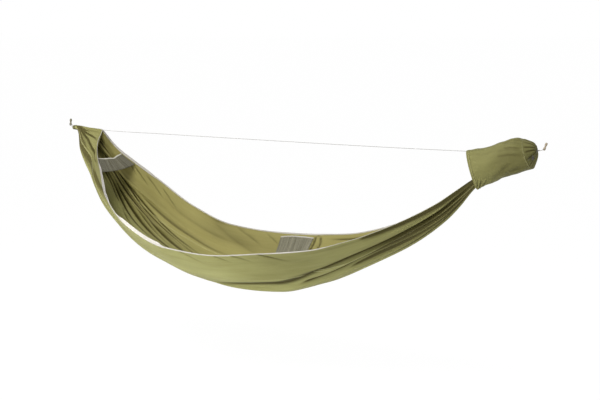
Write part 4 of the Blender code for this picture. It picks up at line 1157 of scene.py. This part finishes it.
print("stage: channels and whippings")
channelSettings = {
    "puckers": 14,
    "depth": 0.0017,
    "radius": 0.0121,
    "bore": 0.0032,
    "profile": ((0.0, 0.45), (0.02, 0.78), (0.12, 0.93), (0.3, 1.0), (0.5, 0.97), (0.7, 1.0), (0.88, 0.95),
                (0.98, 0.86), (1.0, 0.5)),
    "sides": 168,
}
whippingSettings = {"turns": 4, "pitch": 0.0013, "radius": 0.00063, "reach": 0.01255, "tuck": 0.0004}


def channelPiece(name, node, settings):
    # radius = size (radius - depth (1 - |sin|)), the sine that of a slightly uneven count of
    # puckers and the size from the profile, and a plain bore
    low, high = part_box(node)
    turn = fullTurn(settings["sides"])
    phase = settings["puckers"] * turn / 2 + 0.5 * np.sin(3 * turn) + 0.3 * np.sin(5 * turn + 1)
    pucker = settings["depth"] * (1 - np.abs(np.sin(phase)))
    rings = [(share, (settings["radius"] - pucker) * size) for share, size in settings["profile"]]
    rings += [(share, settings["bore"]) for share in (1.0, 0.5, 0.0)]
    rows = [mapPairs(low.x + (high.x - low.x) * share + 0 * turn, radius) for share, radius in rings]
    settle(ringAround(name, rows, settings["sides"], olive), "bed", "olive_cloth", node)


def whippingPiece(name, node, settings):
    # turns of cord side by side, whose ends go in under them
    low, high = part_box(node)
    share = np.linspace(0, 1, settings["turns"] * 30)
    turn = 2 * math.pi * (settings["turns"] - 0.35) * share
    x = (low.x + high.x) / 2 + settings["pitch"] * (settings["turns"] - 1) * (share - 0.5)
    tucked = 1 - ramp(share, 0, 0.04) + ramp(share, 0.96, 1)
    reach = settings["reach"] - settings["tuck"] * tucked
    line = aroundChord(x, reach, turn)
    settle(tubeAlong(name, line, settings["radius"], 10, darkCord), "bed", "grey_cord", node)


channelPiece("head_channel_cloth", "head_channel", channelSettings)
channelPiece("foot_channel_cloth", "foot_channel", channelSettings)
whippingPiece("head_whipping_cord", "head_whipping", whippingSettings)
whippingPiece("foot_whipping_cord", "foot_whipping", whippingSettings)


# Net pockets

print("stage: net pockets")
shadedNet = netSettings | {"thread": (0.115, 0.108, 0.070), "pale": (0.230, 0.216, 0.155)}
headPocket = {
    "net": ("head_pocket_net", "head_pocket_mesh", netPaint("grey_net_in_shade", shadedNet)),
    "hem": ("head_pocket_elastic", "head_pocket_hem",
            elasticPaint("pale_elastic", (0.72, 0.70, 0.60), (0.52, 0.50, 0.42), 0.0012)),
    "hemSlot": "pale_elastic",
    "from": 0.1320, "to": 0.1600, "inset": 0.022, "sag": 0.012, "lift": 0.0024,
    # depth of the kink, where it is and how broad, as shares of the hem's length
    "kink": (0.006, 0.66, 0.10),
    "rows": 15, "columns": 90, "gathers": 15, "ruffle": 0.0014,
}
wallPocket = {
    "net": ("wall_pocket_net", "wall_pocket_mesh", netPaint("grey_net", netSettings)),
    "hem": ("wall_pocket_tape", "wall_pocket_hem", tape),
    "hemSlot": "grey_tape",
    # the shares along are those at the share across of the pivot, from which its sides slant
    "from": 0.4595, "to": 0.5290, "slant": (0.045, 0.094), "pivot": 0.93,
    "mouth": 0.966, "floor": 0.800, "belly": 0.018, "lift": 0.0018,
    "rows": 40, "columns": 44, "gathers": 11, "ruffle": 0.0016,
}
hemSettings = {"width": 0.007, "thickness": 0.0020, "steps": 5}
netThickness = 0.0007


def headPocketGrid(settings):
    # rows that run straight from the near side panel to the far one, sagging between them with
    # a shallow kink where the elastic is caught, and ruffled across
    down = np.linspace(0, 1, settings["rows"])
    at = settings["from"] + (settings["to"] - settings["from"]) * down
    ends = np.repeat([[settings["inset"], 1 - settings["inset"]]], settings["rows"], axis=0)
    points = foldedBed(at, ends) - outward(foldedBed, at, ends) * settings["lift"]
    s = np.linspace(0, 1, settings["columns"])
    grid = points[:, :1] + (points[:, 1:] - points[:, :1]) * s[:, None]
    depth, middle, breadth = settings["kink"]
    kink = depth * np.exp(-(((s - middle) / breadth) ** 2))
    grid[..., 2] -= settings["sag"] * 4 * s * (1 - s) + kink * (1 - down)[:, None]
    ruffle = np.sin(2 * math.pi * settings["gathers"] * s + 2 * np.sin(7 * s)) * np.sin(math.pi * s)
    grid[..., 0] += settings["ruffle"] * ruffle
    return grid


def wallPocketGrid(settings):
    # a slack patch that stands off the far side panel, most at its mouth
    down = np.linspace(settings["mouth"], settings["floor"], settings["rows"])
    s = np.linspace(0, 1, settings["columns"])[:, None]
    across = np.broadcast_to(down, (len(s), len(down)))
    first, last = settings["slant"]
    along = settings["from"] + (settings["to"] - settings["from"]) * s
    along = along + (first + (last - first) * s) * (across - settings["pivot"])
    places = (along.ravel(), across.ravel()[:, None])
    points = foldedBed(*places).reshape(*along.shape, 3)
    normals = outward(foldedBed, *places).reshape(*along.shape, 3)
    depth = np.linspace(1, 0, len(down))
    slack = settings["belly"] * np.sin(math.pi * s) * depth**0.6
    ruffle = 1 + np.sin(2 * math.pi * settings["gathers"] * s + 3 * np.sin(9 * s))
    ruffle = settings["ruffle"] * ruffle * depth**0.4 * np.sin(math.pi * s)
    lifted = points - normals * (settings["lift"] + slack + ruffle)[..., None]
    return np.transpose(lifted, (1, 0, 2))


def netAndHem(settings, points):
    # the net below its hem, and the hem as a doubled band along its first row; the map's lengths
    # are those along the middle row and down the middle column
    name, node, net = settings["net"]
    normals = gridNormals(points)
    across, down = lengthAlong(points[len(points) // 2]), lengthAlong(points[:, points.shape[1] // 2])
    piece = thickSheet(name, points, normals, netThickness, mapPairs(across, down[:, None]), net)
    settle(piece, "bed", "grey_mesh", node)
    width, steps = hemSettings["width"], hemSettings["steps"]
    offsets = np.linspace(-width / 2, width / 2, steps)
    band = points[:1] + unit(points[1] - points[0]) * offsets[:, None, None]
    uv = mapPairs(lengthAlong(points[0]), (offsets + width / 2)[:, None])
    edge = (1 - 0.5 * np.abs(np.linspace(-1, 1, steps)) ** 3)[:, None] * hemSettings["thickness"]
    name, node, paint = settings["hem"]
    hem = thickSheet(name, band, np.repeat(normals[:1], steps, axis=0), edge, uv, paint)
    settle(hem, "bed", settings["hemSlot"], node)


netAndHem(headPocket, headPocketGrid(headPocket))
netAndHem(wallPocket, wallPocketGrid(wallPocket))


# The sack over the foot end

print("stage: sack")
sackSettings = {
    # top (share of the chord, height above it), bottom, and half width
    "rings": (
        (0.8807, -0.0185, 0.9034, -0.2035, 0.038),
        (0.8967, -0.0090, 0.9159, -0.1820, 0.046),
        (0.9187, 0.0020, 0.9343, -0.1600, 0.056),
        (0.9519, 0.0345, 0.9598, -0.1320, 0.068),
        (0.9770, 0.0545, 0.9852, -0.1100, 0.072),
        (0.9915, 0.0490, 1.0100, -0.0850, 0.069),
    ),
    "wall": 0.0010,
    "partGap": 0.0003,
    "hemDepth": 0.014,
    "hemWall": 0.0021,
    "sides": 200,
    "rows": 150,
    # creases: depth, breadths, and points (share from the mouth, turn from the top); the near
    # side runs from half a turn to a whole one; they deepen and die out over the fades
    "fades": (0.15, 0.3),
    "creases": (
        (-0.006, 0.004, 0.009, ((0.00, 0.520), (0.05, 0.560), (0.10, 0.605), (0.17, 0.660))),
        (-0.005, 0.004, 0.009, ((0.03, 0.510), (0.10, 0.545), (0.17, 0.585), (0.26, 0.630))),
        (-0.004, 0.004, 0.008, ((0.00, 0.560), (0.04, 0.610), (0.09, 0.670))),
        (-0.004, 0.005, 0.010, ((0.08, 0.500), (0.17, 0.530), (0.28, 0.565), (0.40, 0.590))),
        (-0.004, 0.012, 0.022, ((0.30, 0.620), (0.45, 0.650), (0.62, 0.700), (0.80, 0.730))),
        (-0.003, 0.010, 0.020, ((0.45, 0.580), (0.60, 0.610), (0.75, 0.650), (0.95, 0.660))),
        (-0.004, 0.006, 0.010, ((0.50, 0.820), (0.70, 0.800), (0.90, 0.780), (1.00, 0.775))),
        (-0.005, 0.006, 0.012, ((0.62, 0.880), (0.78, 0.860), (0.92, 0.850), (1.00, 0.850))),
        (-0.004, 0.005, 0.010, ((0.66, 0.600), (0.82, 0.590), (1.00, 0.600))),
        (-0.004, 0.005, 0.010, ((0.58, 0.940), (0.76, 0.950), (1.00, 0.940))),
        (-0.004, 0.010, 0.016, ((0.05, 0.930), (0.25, 0.900), (0.50, 0.900))),
        (-0.005, 0.006, 0.012, ((0.00, 0.440), (0.12, 0.455), (0.30, 0.470), (0.50, 0.480))),
        (-0.006, 0.008, 0.014, ((0.15, 0.360), (0.40, 0.330), (0.70, 0.300), (0.95, 0.310))),
        (-0.005, 0.008, 0.014, ((0.10, 0.160), (0.35, 0.190), (0.65, 0.180), (0.95, 0.200))),
    ),
    "rolls": 0.0010,
    "puckers": 26,
    "mouthDepth": 0.0009,
    "rimDepth": 0.0016,
    "shadeDepth": 0.0045,  # of a fold that is wholly dark
    # painted shade: how much the outside takes towards the drawn end, how much more the near side
    # takes, and at which turn and how broadly; and the shares between which the painted shade grows
    "shade": (0.24, 0.20, 0.73, 0.10),
    "shadeGrows": (0.25, 0.65),
    "mapGirth": 0.47,
    "mapReach": 0.07,  # of the drawn end
    "endSteps": 46,
    "endPleats": 15,
    "endDepth": 0.0046,
    "endFine": 0.0010,
    # painted shade in the drawn end's pleats
    "endShadeDepth": 0.0035,
    "endShade": (0.20, 0.35),  # at the rim and at the hole
    "hole": 0.0075,
    "reach": 0.026,
    "taper": (0.64, -0.10),
    "turnIn": 8,
}
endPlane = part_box("foot_channel")[1].x + sackSettings["reach"]
drawnHole = np.array([endPlane, 0.0, chordZ])


def sackTable(settings):
    rings = np.array(settings["rings"])
    rings[:, [0, 2]] = bedStart + chord * rings[:, [0, 2]]
    rings[:, [1, 3]] += chordZ
    middles = (rings[:, 0:2] + rings[:, 2:4]) / 2
    knots = lengthAlong(middles)
    knots = knots / knots[-1]
    return knots, rings, steadySlopes(knots, rings)


sackKnots, sackRings, sackSlopes = sackTable(sackSettings)
mouthMiddle, endMiddle = ((ring[0:2] + ring[2:4]) / 2 for ring in sackRings[[0, -1]])
sackLength = math.dist(mouthMiddle, endMiddle)


def smoothSack(share, turn):
    # an ellipse at each share: middle + half height cos + half width sin
    row = throughKnots(sackKnots, sackRings, sackSlopes, np.clip(share, 0, 1))
    zero = np.zeros(len(share))
    top = np.stack([row[:, 0], zero, row[:, 1]], axis=-1)[:, None]
    bottom = np.stack([row[:, 2], zero, row[:, 3]], axis=-1)[:, None]
    angle = 2 * math.pi * turn[..., None]
    side = np.array([0.0, 1.0, 0.0]) * row[:, 4][:, None, None]
    return (top + bottom) / 2 + (top - bottom) / 2 * np.cos(angle) + side * np.sin(angle), row


def closedNormals(points):
    # for a grid that closes on itself across its columns
    over = np.roll(points, -1, axis=1) - np.roll(points, 1, axis=1)
    return unit(np.cross(over, np.gradient(points, axis=0)))


def sackGrid(first, last, rows):
    # the smooth sack with its creases, slow rolls, and fine puckers at both ends
    s = sackSettings
    share = np.linspace(first, last, rows)
    turn = np.broadcast_to(np.arange(s["sides"]) / s["sides"], (rows, s["sides"]))
    points, row = smoothSack(share, turn)
    girth = 2 * math.pi * np.sqrt(((row[:, 1] - row[:, 3]) ** 2 / 4 + row[:, 4] ** 2) / 2)[:, None]
    normals = closedNormals(points)
    column = share[:, None] + 0 * turn
    height = np.zeros(turn.shape)
    for depth, below, above, path in s["creases"]:
        height = height + depth * creased(column, turn, girth, (below, above), path, s["fades"])
    angle = 2 * math.pi * turn
    rolls = np.sin(26 * column + 2.0 * np.sin(angle) + 0.8) * np.sin(3 * angle + 9 * column)
    height = height + s["rolls"] * (rolls - 0.6) * ramp(column, 0.06, 0.2)
    puckers = np.abs(np.sin(s["puckers"] * angle / 2 + 1.2 * np.sin(2 * angle))) - 1
    height = height + s["rimDepth"] * puckers * ramp(column, 0.93, 1.0)
    height = height + s["mouthDepth"] * puckers * (1 - ramp(column, 0.03, 0.10)) * ramp(column, 0.0, 0.03)
    points = points + normals * height[..., None]
    uv = mapPairs(column * sackLength, turn * s["mapGirth"])
    # painted shade in the folds: how far a point lies inside its neighbours round the sack, with the
    # painted shade that grows towards the drawn end; the normals point in
    sides = np.roll(height, 3, axis=1) + np.roll(height, -3, axis=1)
    dark, darker, middle, breadth = s["shade"]
    nearSide = np.exp(-(((turn - middle) / breadth) ** 2))
    shade = (dark + darker * nearSide) * ramp(column, *s["shadeGrows"])
    outer, inner = foldSides((height - sides / 2) / s["shadeDepth"], shade)
    return points, closedNormals(points), uv, (1.0, np.array([inner, outer]), 1.0)


def drawnEnd():
    # spokes from the tube's last ring in to the drawn hole: the radius falls evenly, more at the
    # bottom than at the top, and then turns in sharply; the pleats deepen towards the middle and
    # die out at the hole
    s = sackSettings
    rim = sackGrid(0.999, 1.0, 2)[0][1]
    middle = (rim.max(axis=0) + rim.min(axis=0)) / 2
    share = np.linspace(0.004, 1, s["endSteps"])[:, None]
    holeShare = s["hole"] / sackRings[-1, 4]
    angle = fullTurn(s["sides"])
    taper = (s["taper"][0] + s["taper"][1] * np.cos(angle))[:, None]
    out = (1 - (1 - share) ** 2.2)[..., None]
    radial = holeShare + (1 - holeShare) * (1 - taper * out) * np.sqrt(1 - out ** s["turnIn"])
    spokes = rim - middle
    hole = np.stack([0 * angle, np.sin(angle), np.cos(angle)], axis=-1) * s["hole"]
    points = spokes * (1 - out) * radial + spokes * out * (radial - holeShare) + hole * out
    points = points + middle * (1 - out) + drawnHole * out
    phase = s["endPleats"] * angle / 2 + 0.7 * np.sin(2 * angle + 0.5) + 0.4 * np.sin(5 * angle)
    pleat = s["endDepth"] * np.sin(math.pi * share**0.75) * (1.5 * np.abs(np.cos(phase)) ** 0.8 - 1)
    fine = s["endFine"] * np.sin(math.pi * share) * np.sin(41 * angle + 3 * np.sin(3 * angle))
    points[..., 0] += pleat + fine
    uv = mapPairs(sackLength + share * s["mapReach"], angle / (2 * math.pi) * s["mapGirth"])
    # painted shade in the pleats, growing towards the hole
    sides = np.roll(pleat, 4, axis=1) + np.roll(pleat, -4, axis=1)
    bend = (sides / 2 - pleat) / s["endShadeDepth"]
    dark, darkest = s["endShade"]
    outer, inner = foldSides(bend, dark + (darkest - dark) * ramp(share, 0.3, 1.0))
    return points, closedNormals(points), uv, (1.0, np.array([inner, outer]), 1.0)


# the sack's own colours; inside is its painted warm light through the cloth, fold the painted shade of its
# creases
sackColours = {
    "light": (0.262, 0.252, 0.092),
    "dark": (0.165, 0.158, 0.050),
    "inside": (0.200, 0.180, 0.055),
    "fold": (0.100, 0.094, 0.025),
}
sackStitches = (0.0112, sackLength - 0.004)
sackCloth = clothPaint("sack_ripstop", clothSettings | sackColours, sackStitches, True)
hemShare = sackSettings["hemDepth"] / sackLength
gapShare = sackSettings["partGap"] / sackLength
tube = sackGrid(hemShare + gapShare, 1 - gapShare, sackSettings["rows"])
hem = sackGrid(0.0, hemShare - gapShare, 9)
sackPieces = {
    "sack_cloth": ("sack_tube", tube, "wall", "stretched"),
    "sack_hem": ("sack_mouth_hem", hem, "hemWall", "stretched"),
    "sack_drawn_end": ("sack_end_channel", drawnEnd(), "wall", "gathered"),
}
for name, (node, (points, normals, uv, state), wall, held) in sackPieces.items():
    wrap = (0.0, sackSettings["mapGirth"])
    piece = thickSheet(name, points, normals, sackSettings[wall], uv, sackCloth, True, wrap, state, 0)
    settle(piece, "sack", "sack_cloth", node)


# Cords: ridgeline with its knots, suspension loops with their stopper knots, drawcord

print("stage: cords")
ridgeSettings = {
    "radius": 0.0011,
    "knotLength": 0.010,
    "knotSize": 0.0026,
    # share of the chord, height above it
    "route": ((0.0422, -0.0045), (0.0739, -0.0080), (0.2223, -0.0125), (0.3966, -0.0165), (0.5748, -0.0200),
              (0.7315, -0.0220), (0.8787, -0.0212), (0.8928, -0.0212), (0.9390, -0.0120)),
}
loopSettings = {
    "radius": 0.00125,
    "closes": 0.0172,
    "spacing": 0.0031,
    "turns": 11.0,  # of the strands round each other, for each metre
    "toggle": 0.0061,
    "toggleGap": 0.0010,
    "channel": 0.014,  # the length that the strands run through
    "knotLength": 0.010,
    "knotSize": 0.0037,
}
gap = 0.0003


def ridgeline(settings):
    behind = bedStart + loopSettings["knotLength"] + gap
    ahead = bedEnd - loopSettings["knotLength"] - gap
    first = behind + settings["knotLength"] + gap
    last = ahead - settings["knotLength"] - gap
    route = [(first, 0, chordZ), (first + 0.01, 0, chordZ)]
    route += [(bedStart + chord * share, 0, chordZ + height) for share, height in settings["route"]]
    route += [(last - 0.01, 0, chordZ), (last, 0, chordZ)]
    line = smoothLine(route, 240)
    piece = tubeAlong("ridge_cord", line, settings["radius"], 12, fineCord)
    settle(piece, "bed", "grey_cord", "ridgeline")
    for name, node, start, direction in (
        ("ridge_head_knot", "ridgeline_head_knot", behind, 1),
        ("ridge_foot_knot", "ridgeline_foot_knot", ahead, -1),
    ):
        centre = start + direction * settings["knotLength"] / 2
        run = settings["knotLength"] - 2 * settings["radius"]
        knot = overhand(centre, direction, settings["knotSize"], run, 110)
        settle(tubeAlong(name, knot, settings["radius"], 10, fineCord), "bed", "grey_cord", node)


def suspensionLoop(name, node, pivot, inward, reach, settings):
    # half the loop as distance inward, Y, height, and the lift of one strand over the other; the
    # strands then turn round each other as far as the channel and run through it
    eye = settings["toggle"] + settings["radius"] + settings["toggleGap"]
    drop = pivot[2] - chordZ
    strand = settings["spacing"] / 2
    middle = reach + settings["channel"] + gap + settings["knotLength"] / 2
    half = [
        (0.0, 0.0, 0.0, 0.0),
        (0.0, 0.6 * eye, 0.0, 0.0),
        (0.0008, 0.92 * eye, 0.0, 0.0),
        (0.0035, eye, -0.0008, 0.0),
        (0.0070, 0.80 * eye, -0.40 * drop, 0.0),
        (0.0125, 0.42 * eye, -0.82 * drop, 0.0),
    ]
    for x in (*np.linspace(settings["closes"], reach, 7), (reach + middle) / 2, middle):
        turn = 2 * math.pi * settings["turns"] * (min(x, reach) - settings["closes"])
        half.append((x, strand * math.cos(turn), -drop, strand * math.sin(turn)))
    route = [(x, -y, z - lift) for x, y, z, lift in reversed(half)]
    route += [(x, y, z + lift) for x, y, z, lift in half[1:]]
    route = [(pivot[0] + inward * x, y, pivot[2] + z) for x, y, z in route]
    line = smoothLine(route, 150)
    piece = tubeAlong(name, line, settings["radius"], 12, plaited)
    settle(piece, "suspension", "grey_cord", node)
    run = settings["knotLength"] - 2.6 * settings["radius"]
    knotLine = overhand(pivot[0] + inward * middle, inward, settings["knotSize"], run, 120)
    knot = tubeAlong(name + "_knot", knotLine, settings["radius"], 12, plaited)
    settle(knot, "suspension", "grey_cord")


drawcordSettings = {
    "radius": 0.0008,
    "spacing": 0.0020,
    "lock": (-0.002, -0.060, -0.040),  # from the middle of the drawn hole
    "lockTurn": 28.0,
    "cordHeight": 0.0110,
    "tailReach": 0.024,
    "tailDrop": 0.012,
    "ringTurns": (-118, -180, -240, -300, -360, -422),
}


def drawcord(settings):
    # a tail, through the lock, round the drawn hole and back through the lock
    turn = math.radians(settings["lockTurn"])
    run = np.array([-math.sin(turn), -math.cos(turn), 0.0])
    upwards = np.array([0.0, 0.0, 1.0])
    middle = drawnHole + np.array(settings["lock"]) + upwards * settings["cordHeight"]
    ring = sackSettings["hole"]
    hole = drawnHole + np.array([0.0007 + settings["radius"] + gap, 0.0, 0.0])
    reach, fall = settings["tailReach"], settings["tailDrop"]
    route = []
    for sign in (1, -1):
        lift = upwards * sign * settings["spacing"] / 2
        leg = [
            middle + run * (reach + 0.007) + lift - upwards * fall,
            middle + run * (reach + 0.003) + lift - upwards * 0.3 * fall,
            middle + run * reach + lift,
            middle + run * (reach - 0.003) + lift,
            middle + run * (reach / 2) + lift,
            middle + lift,
            middle - run * 0.010 + lift,
            hole + np.array([0.0020, -ring - 0.010, 0.0]) + lift * 1.6,
        ]
        angles = np.radians(settings["ringTurns"])
        loop = [hole + np.array([0.0, ring * math.sin(t), ring * math.cos(t)]) for t in angles]
        route = route + leg if sign == 1 else route + loop + leg[::-1]
    line = smoothLine(route, 260)
    piece = tubeAlong("sack_thin_cord", line, settings["radius"], 10, darkCord)
    settle(piece, "sack", "grey_cord", "sack_drawcord")


ridgeline(ridgeSettings)
headPivot = (0.0, 0.0, 0.0)
footPivot = (2.662, 0.0, chordZ + 0.008)
suspensionLoop("head_hanging_loop", "head_loop", headPivot, 1, 0.018, loopSettings)
suspensionLoop("foot_hanging_loop", "foot_loop", footPivot, -1, 0.062, loopSettings)
drawcord(drawcordSettings)


springWire = wirePaint("drawn_spring_wire", (0.66, 0.66, 0.66), (0.42, 0.42, 0.42))


def lockSpring(settings):
    # a helix in the CAD spring's box, its turns evenly spaced
    low, high = (np.array(corner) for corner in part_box("lock_spring"))
    middle = (low + high) / 2
    radius = settings["radius"]
    turn = np.linspace(0, 2 * math.pi * settings["turns"], settings["turns"] * 24 + 1)
    reach = (high[0] - low[0]) / 2 - radius
    height = np.linspace(low[2] + radius, high[2] - radius, len(turn))
    line = np.stack([middle[0] + reach * np.cos(turn), middle[1] + reach * np.sin(turn), height], axis=-1)
    piece = tubeAlong("lock_spring_wire", line, radius, 8, springWire)
    settle(piece, "lock", "spring_steel", "lock_spring")
    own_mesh(piece)


# free length 4.8 mm, of which the plunger takes 3 mm
lockSpring({"radius": 0.00032, "turns": 4, "keep": 0.36})


# Finishes of the rigid parts

finishes = {
    # painted shade: the head toggle is the same turned wood as the foot one, given darker colours because it
    # hangs in shade
    "head_toggle": turnedPaint("turned_toggle_in_shade", (0.165, 0.150, 0.085), (0.070, 0.064, 0.034)),
    "foot_toggle": turnedPaint("tan_turned_toggle", (0.450, 0.380, 0.270), (0.260, 0.200, 0.130)),
    "lock_barrel": mouldedPaint("black_moulded_barrel", (0.016, 0.014, 0.009)),
    "lock_plunger": mouldedPaint("black_moulded_plunger", (0.026, 0.023, 0.016)),
}
for node, paint in finishes.items():
    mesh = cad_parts[node].data
    mesh.materials.clear()
    mesh.materials.append(paint)


# Studio

def studioPlane(name, size, place, material):
    half = size / 2
    corners = [(-half, -half, 0), (half, -half, 0), (half, half, 0), (-half, half, 0)]
    mesh = bpy.data.meshes.new(name)
    mesh.from_pydata(corners, [], [(0, 1, 2, 3)])
    mesh.materials.append(material)
    plane = bpy.data.objects.new(name, mesh)
    plane.location = place
    bpy.context.scene.collection.objects.link(plane)


studioSettings = {
    "floorZ": -1.30,
    "floorSize": 400.0,
    "floorShade": 0.82,
    "floorGlow": 1.045,
    "glowShare": 0.93,
    "world": 0.34,
    "lamps": {
        "key": {"place": (0.5, -2.5, 2.35), "aim": (0.6, 0.0, -0.5), "size": 1.4, "power": 134.0},
        "low": {"place": (0.0, -3.3, -1.3), "aim": (0.55, 0.0, -0.8), "size": 1.2, "power": 92.0},
        "foot": {"place": (4.6, -2.0, 1.4), "aim": (2.7, 0.0, -0.1), "size": 1.6, "power": 22.0},
    },
}


def seenDirectly(paint):
    # 1 for what the camera, a mirror or glass sees, 0 for light on the object
    camera = paint.add("ShaderNodeLightPath", {}, {}, "Is Camera Ray")
    return camera.larger(camera.beside("Is Glossy Ray")).larger(camera.beside("Is Transmission Ray"))


def makeStudio(settings):
    # a floor and a sky that are bright to the eye and dimmer to the object, and three lamps
    floor = surfacePaint("pale_floor")
    floor.set("Roughness", 0.9)
    shade = settings["floorShade"]
    floor.set("Base Color", floor.mixed(floor.noise(floor.place(), 3.0), (shade,) * 3, (shade + 0.03,) * 3))
    own = Wire(floor, floor.shader.outputs[0])
    glow = floor.add("ShaderNodeEmission", {}, {"Color": (1.0, 1.0, 1.0), "Strength": settings["floorGlow"]})
    share = seenDirectly(floor) * settings["glowShare"]
    both = floor.add("ShaderNodeMixShader", {}, {0: share, 1: own, 2: glow})
    floor.put(floor.tree.nodes["Material Output"].inputs["Surface"], both)
    studioPlane("floor", settings["floorSize"], (1.3, 0.0, settings["floorZ"]), floor.made)

    sky = Paint(bpy.data.worlds.new("studio"), "Background")
    bpy.context.scene.world = sky.made
    sky.set("Color", (1.0, 1.0, 1.0))
    sky.set("Strength", settings["world"] + seenDirectly(sky) * (1.0 - settings["world"]))

    for name, lamp in settings["lamps"].items():
        data = bpy.data.lights.new(name, "AREA")
        data.size = lamp["size"]
        data.energy = lamp["power"]
        light = bpy.data.objects.new(name, data)
        light.location = lamp["place"]
        aim = Vector(lamp["aim"]) - Vector(lamp["place"])
        light.rotation_euler = aim.to_track_quat("-Z", "Y").to_euler()
        bpy.context.scene.collection.objects.link(light)
    bpy.context.scene.view_settings.view_transform = "Standard"


print("stage: studio")
makeStudio(studioSettings)
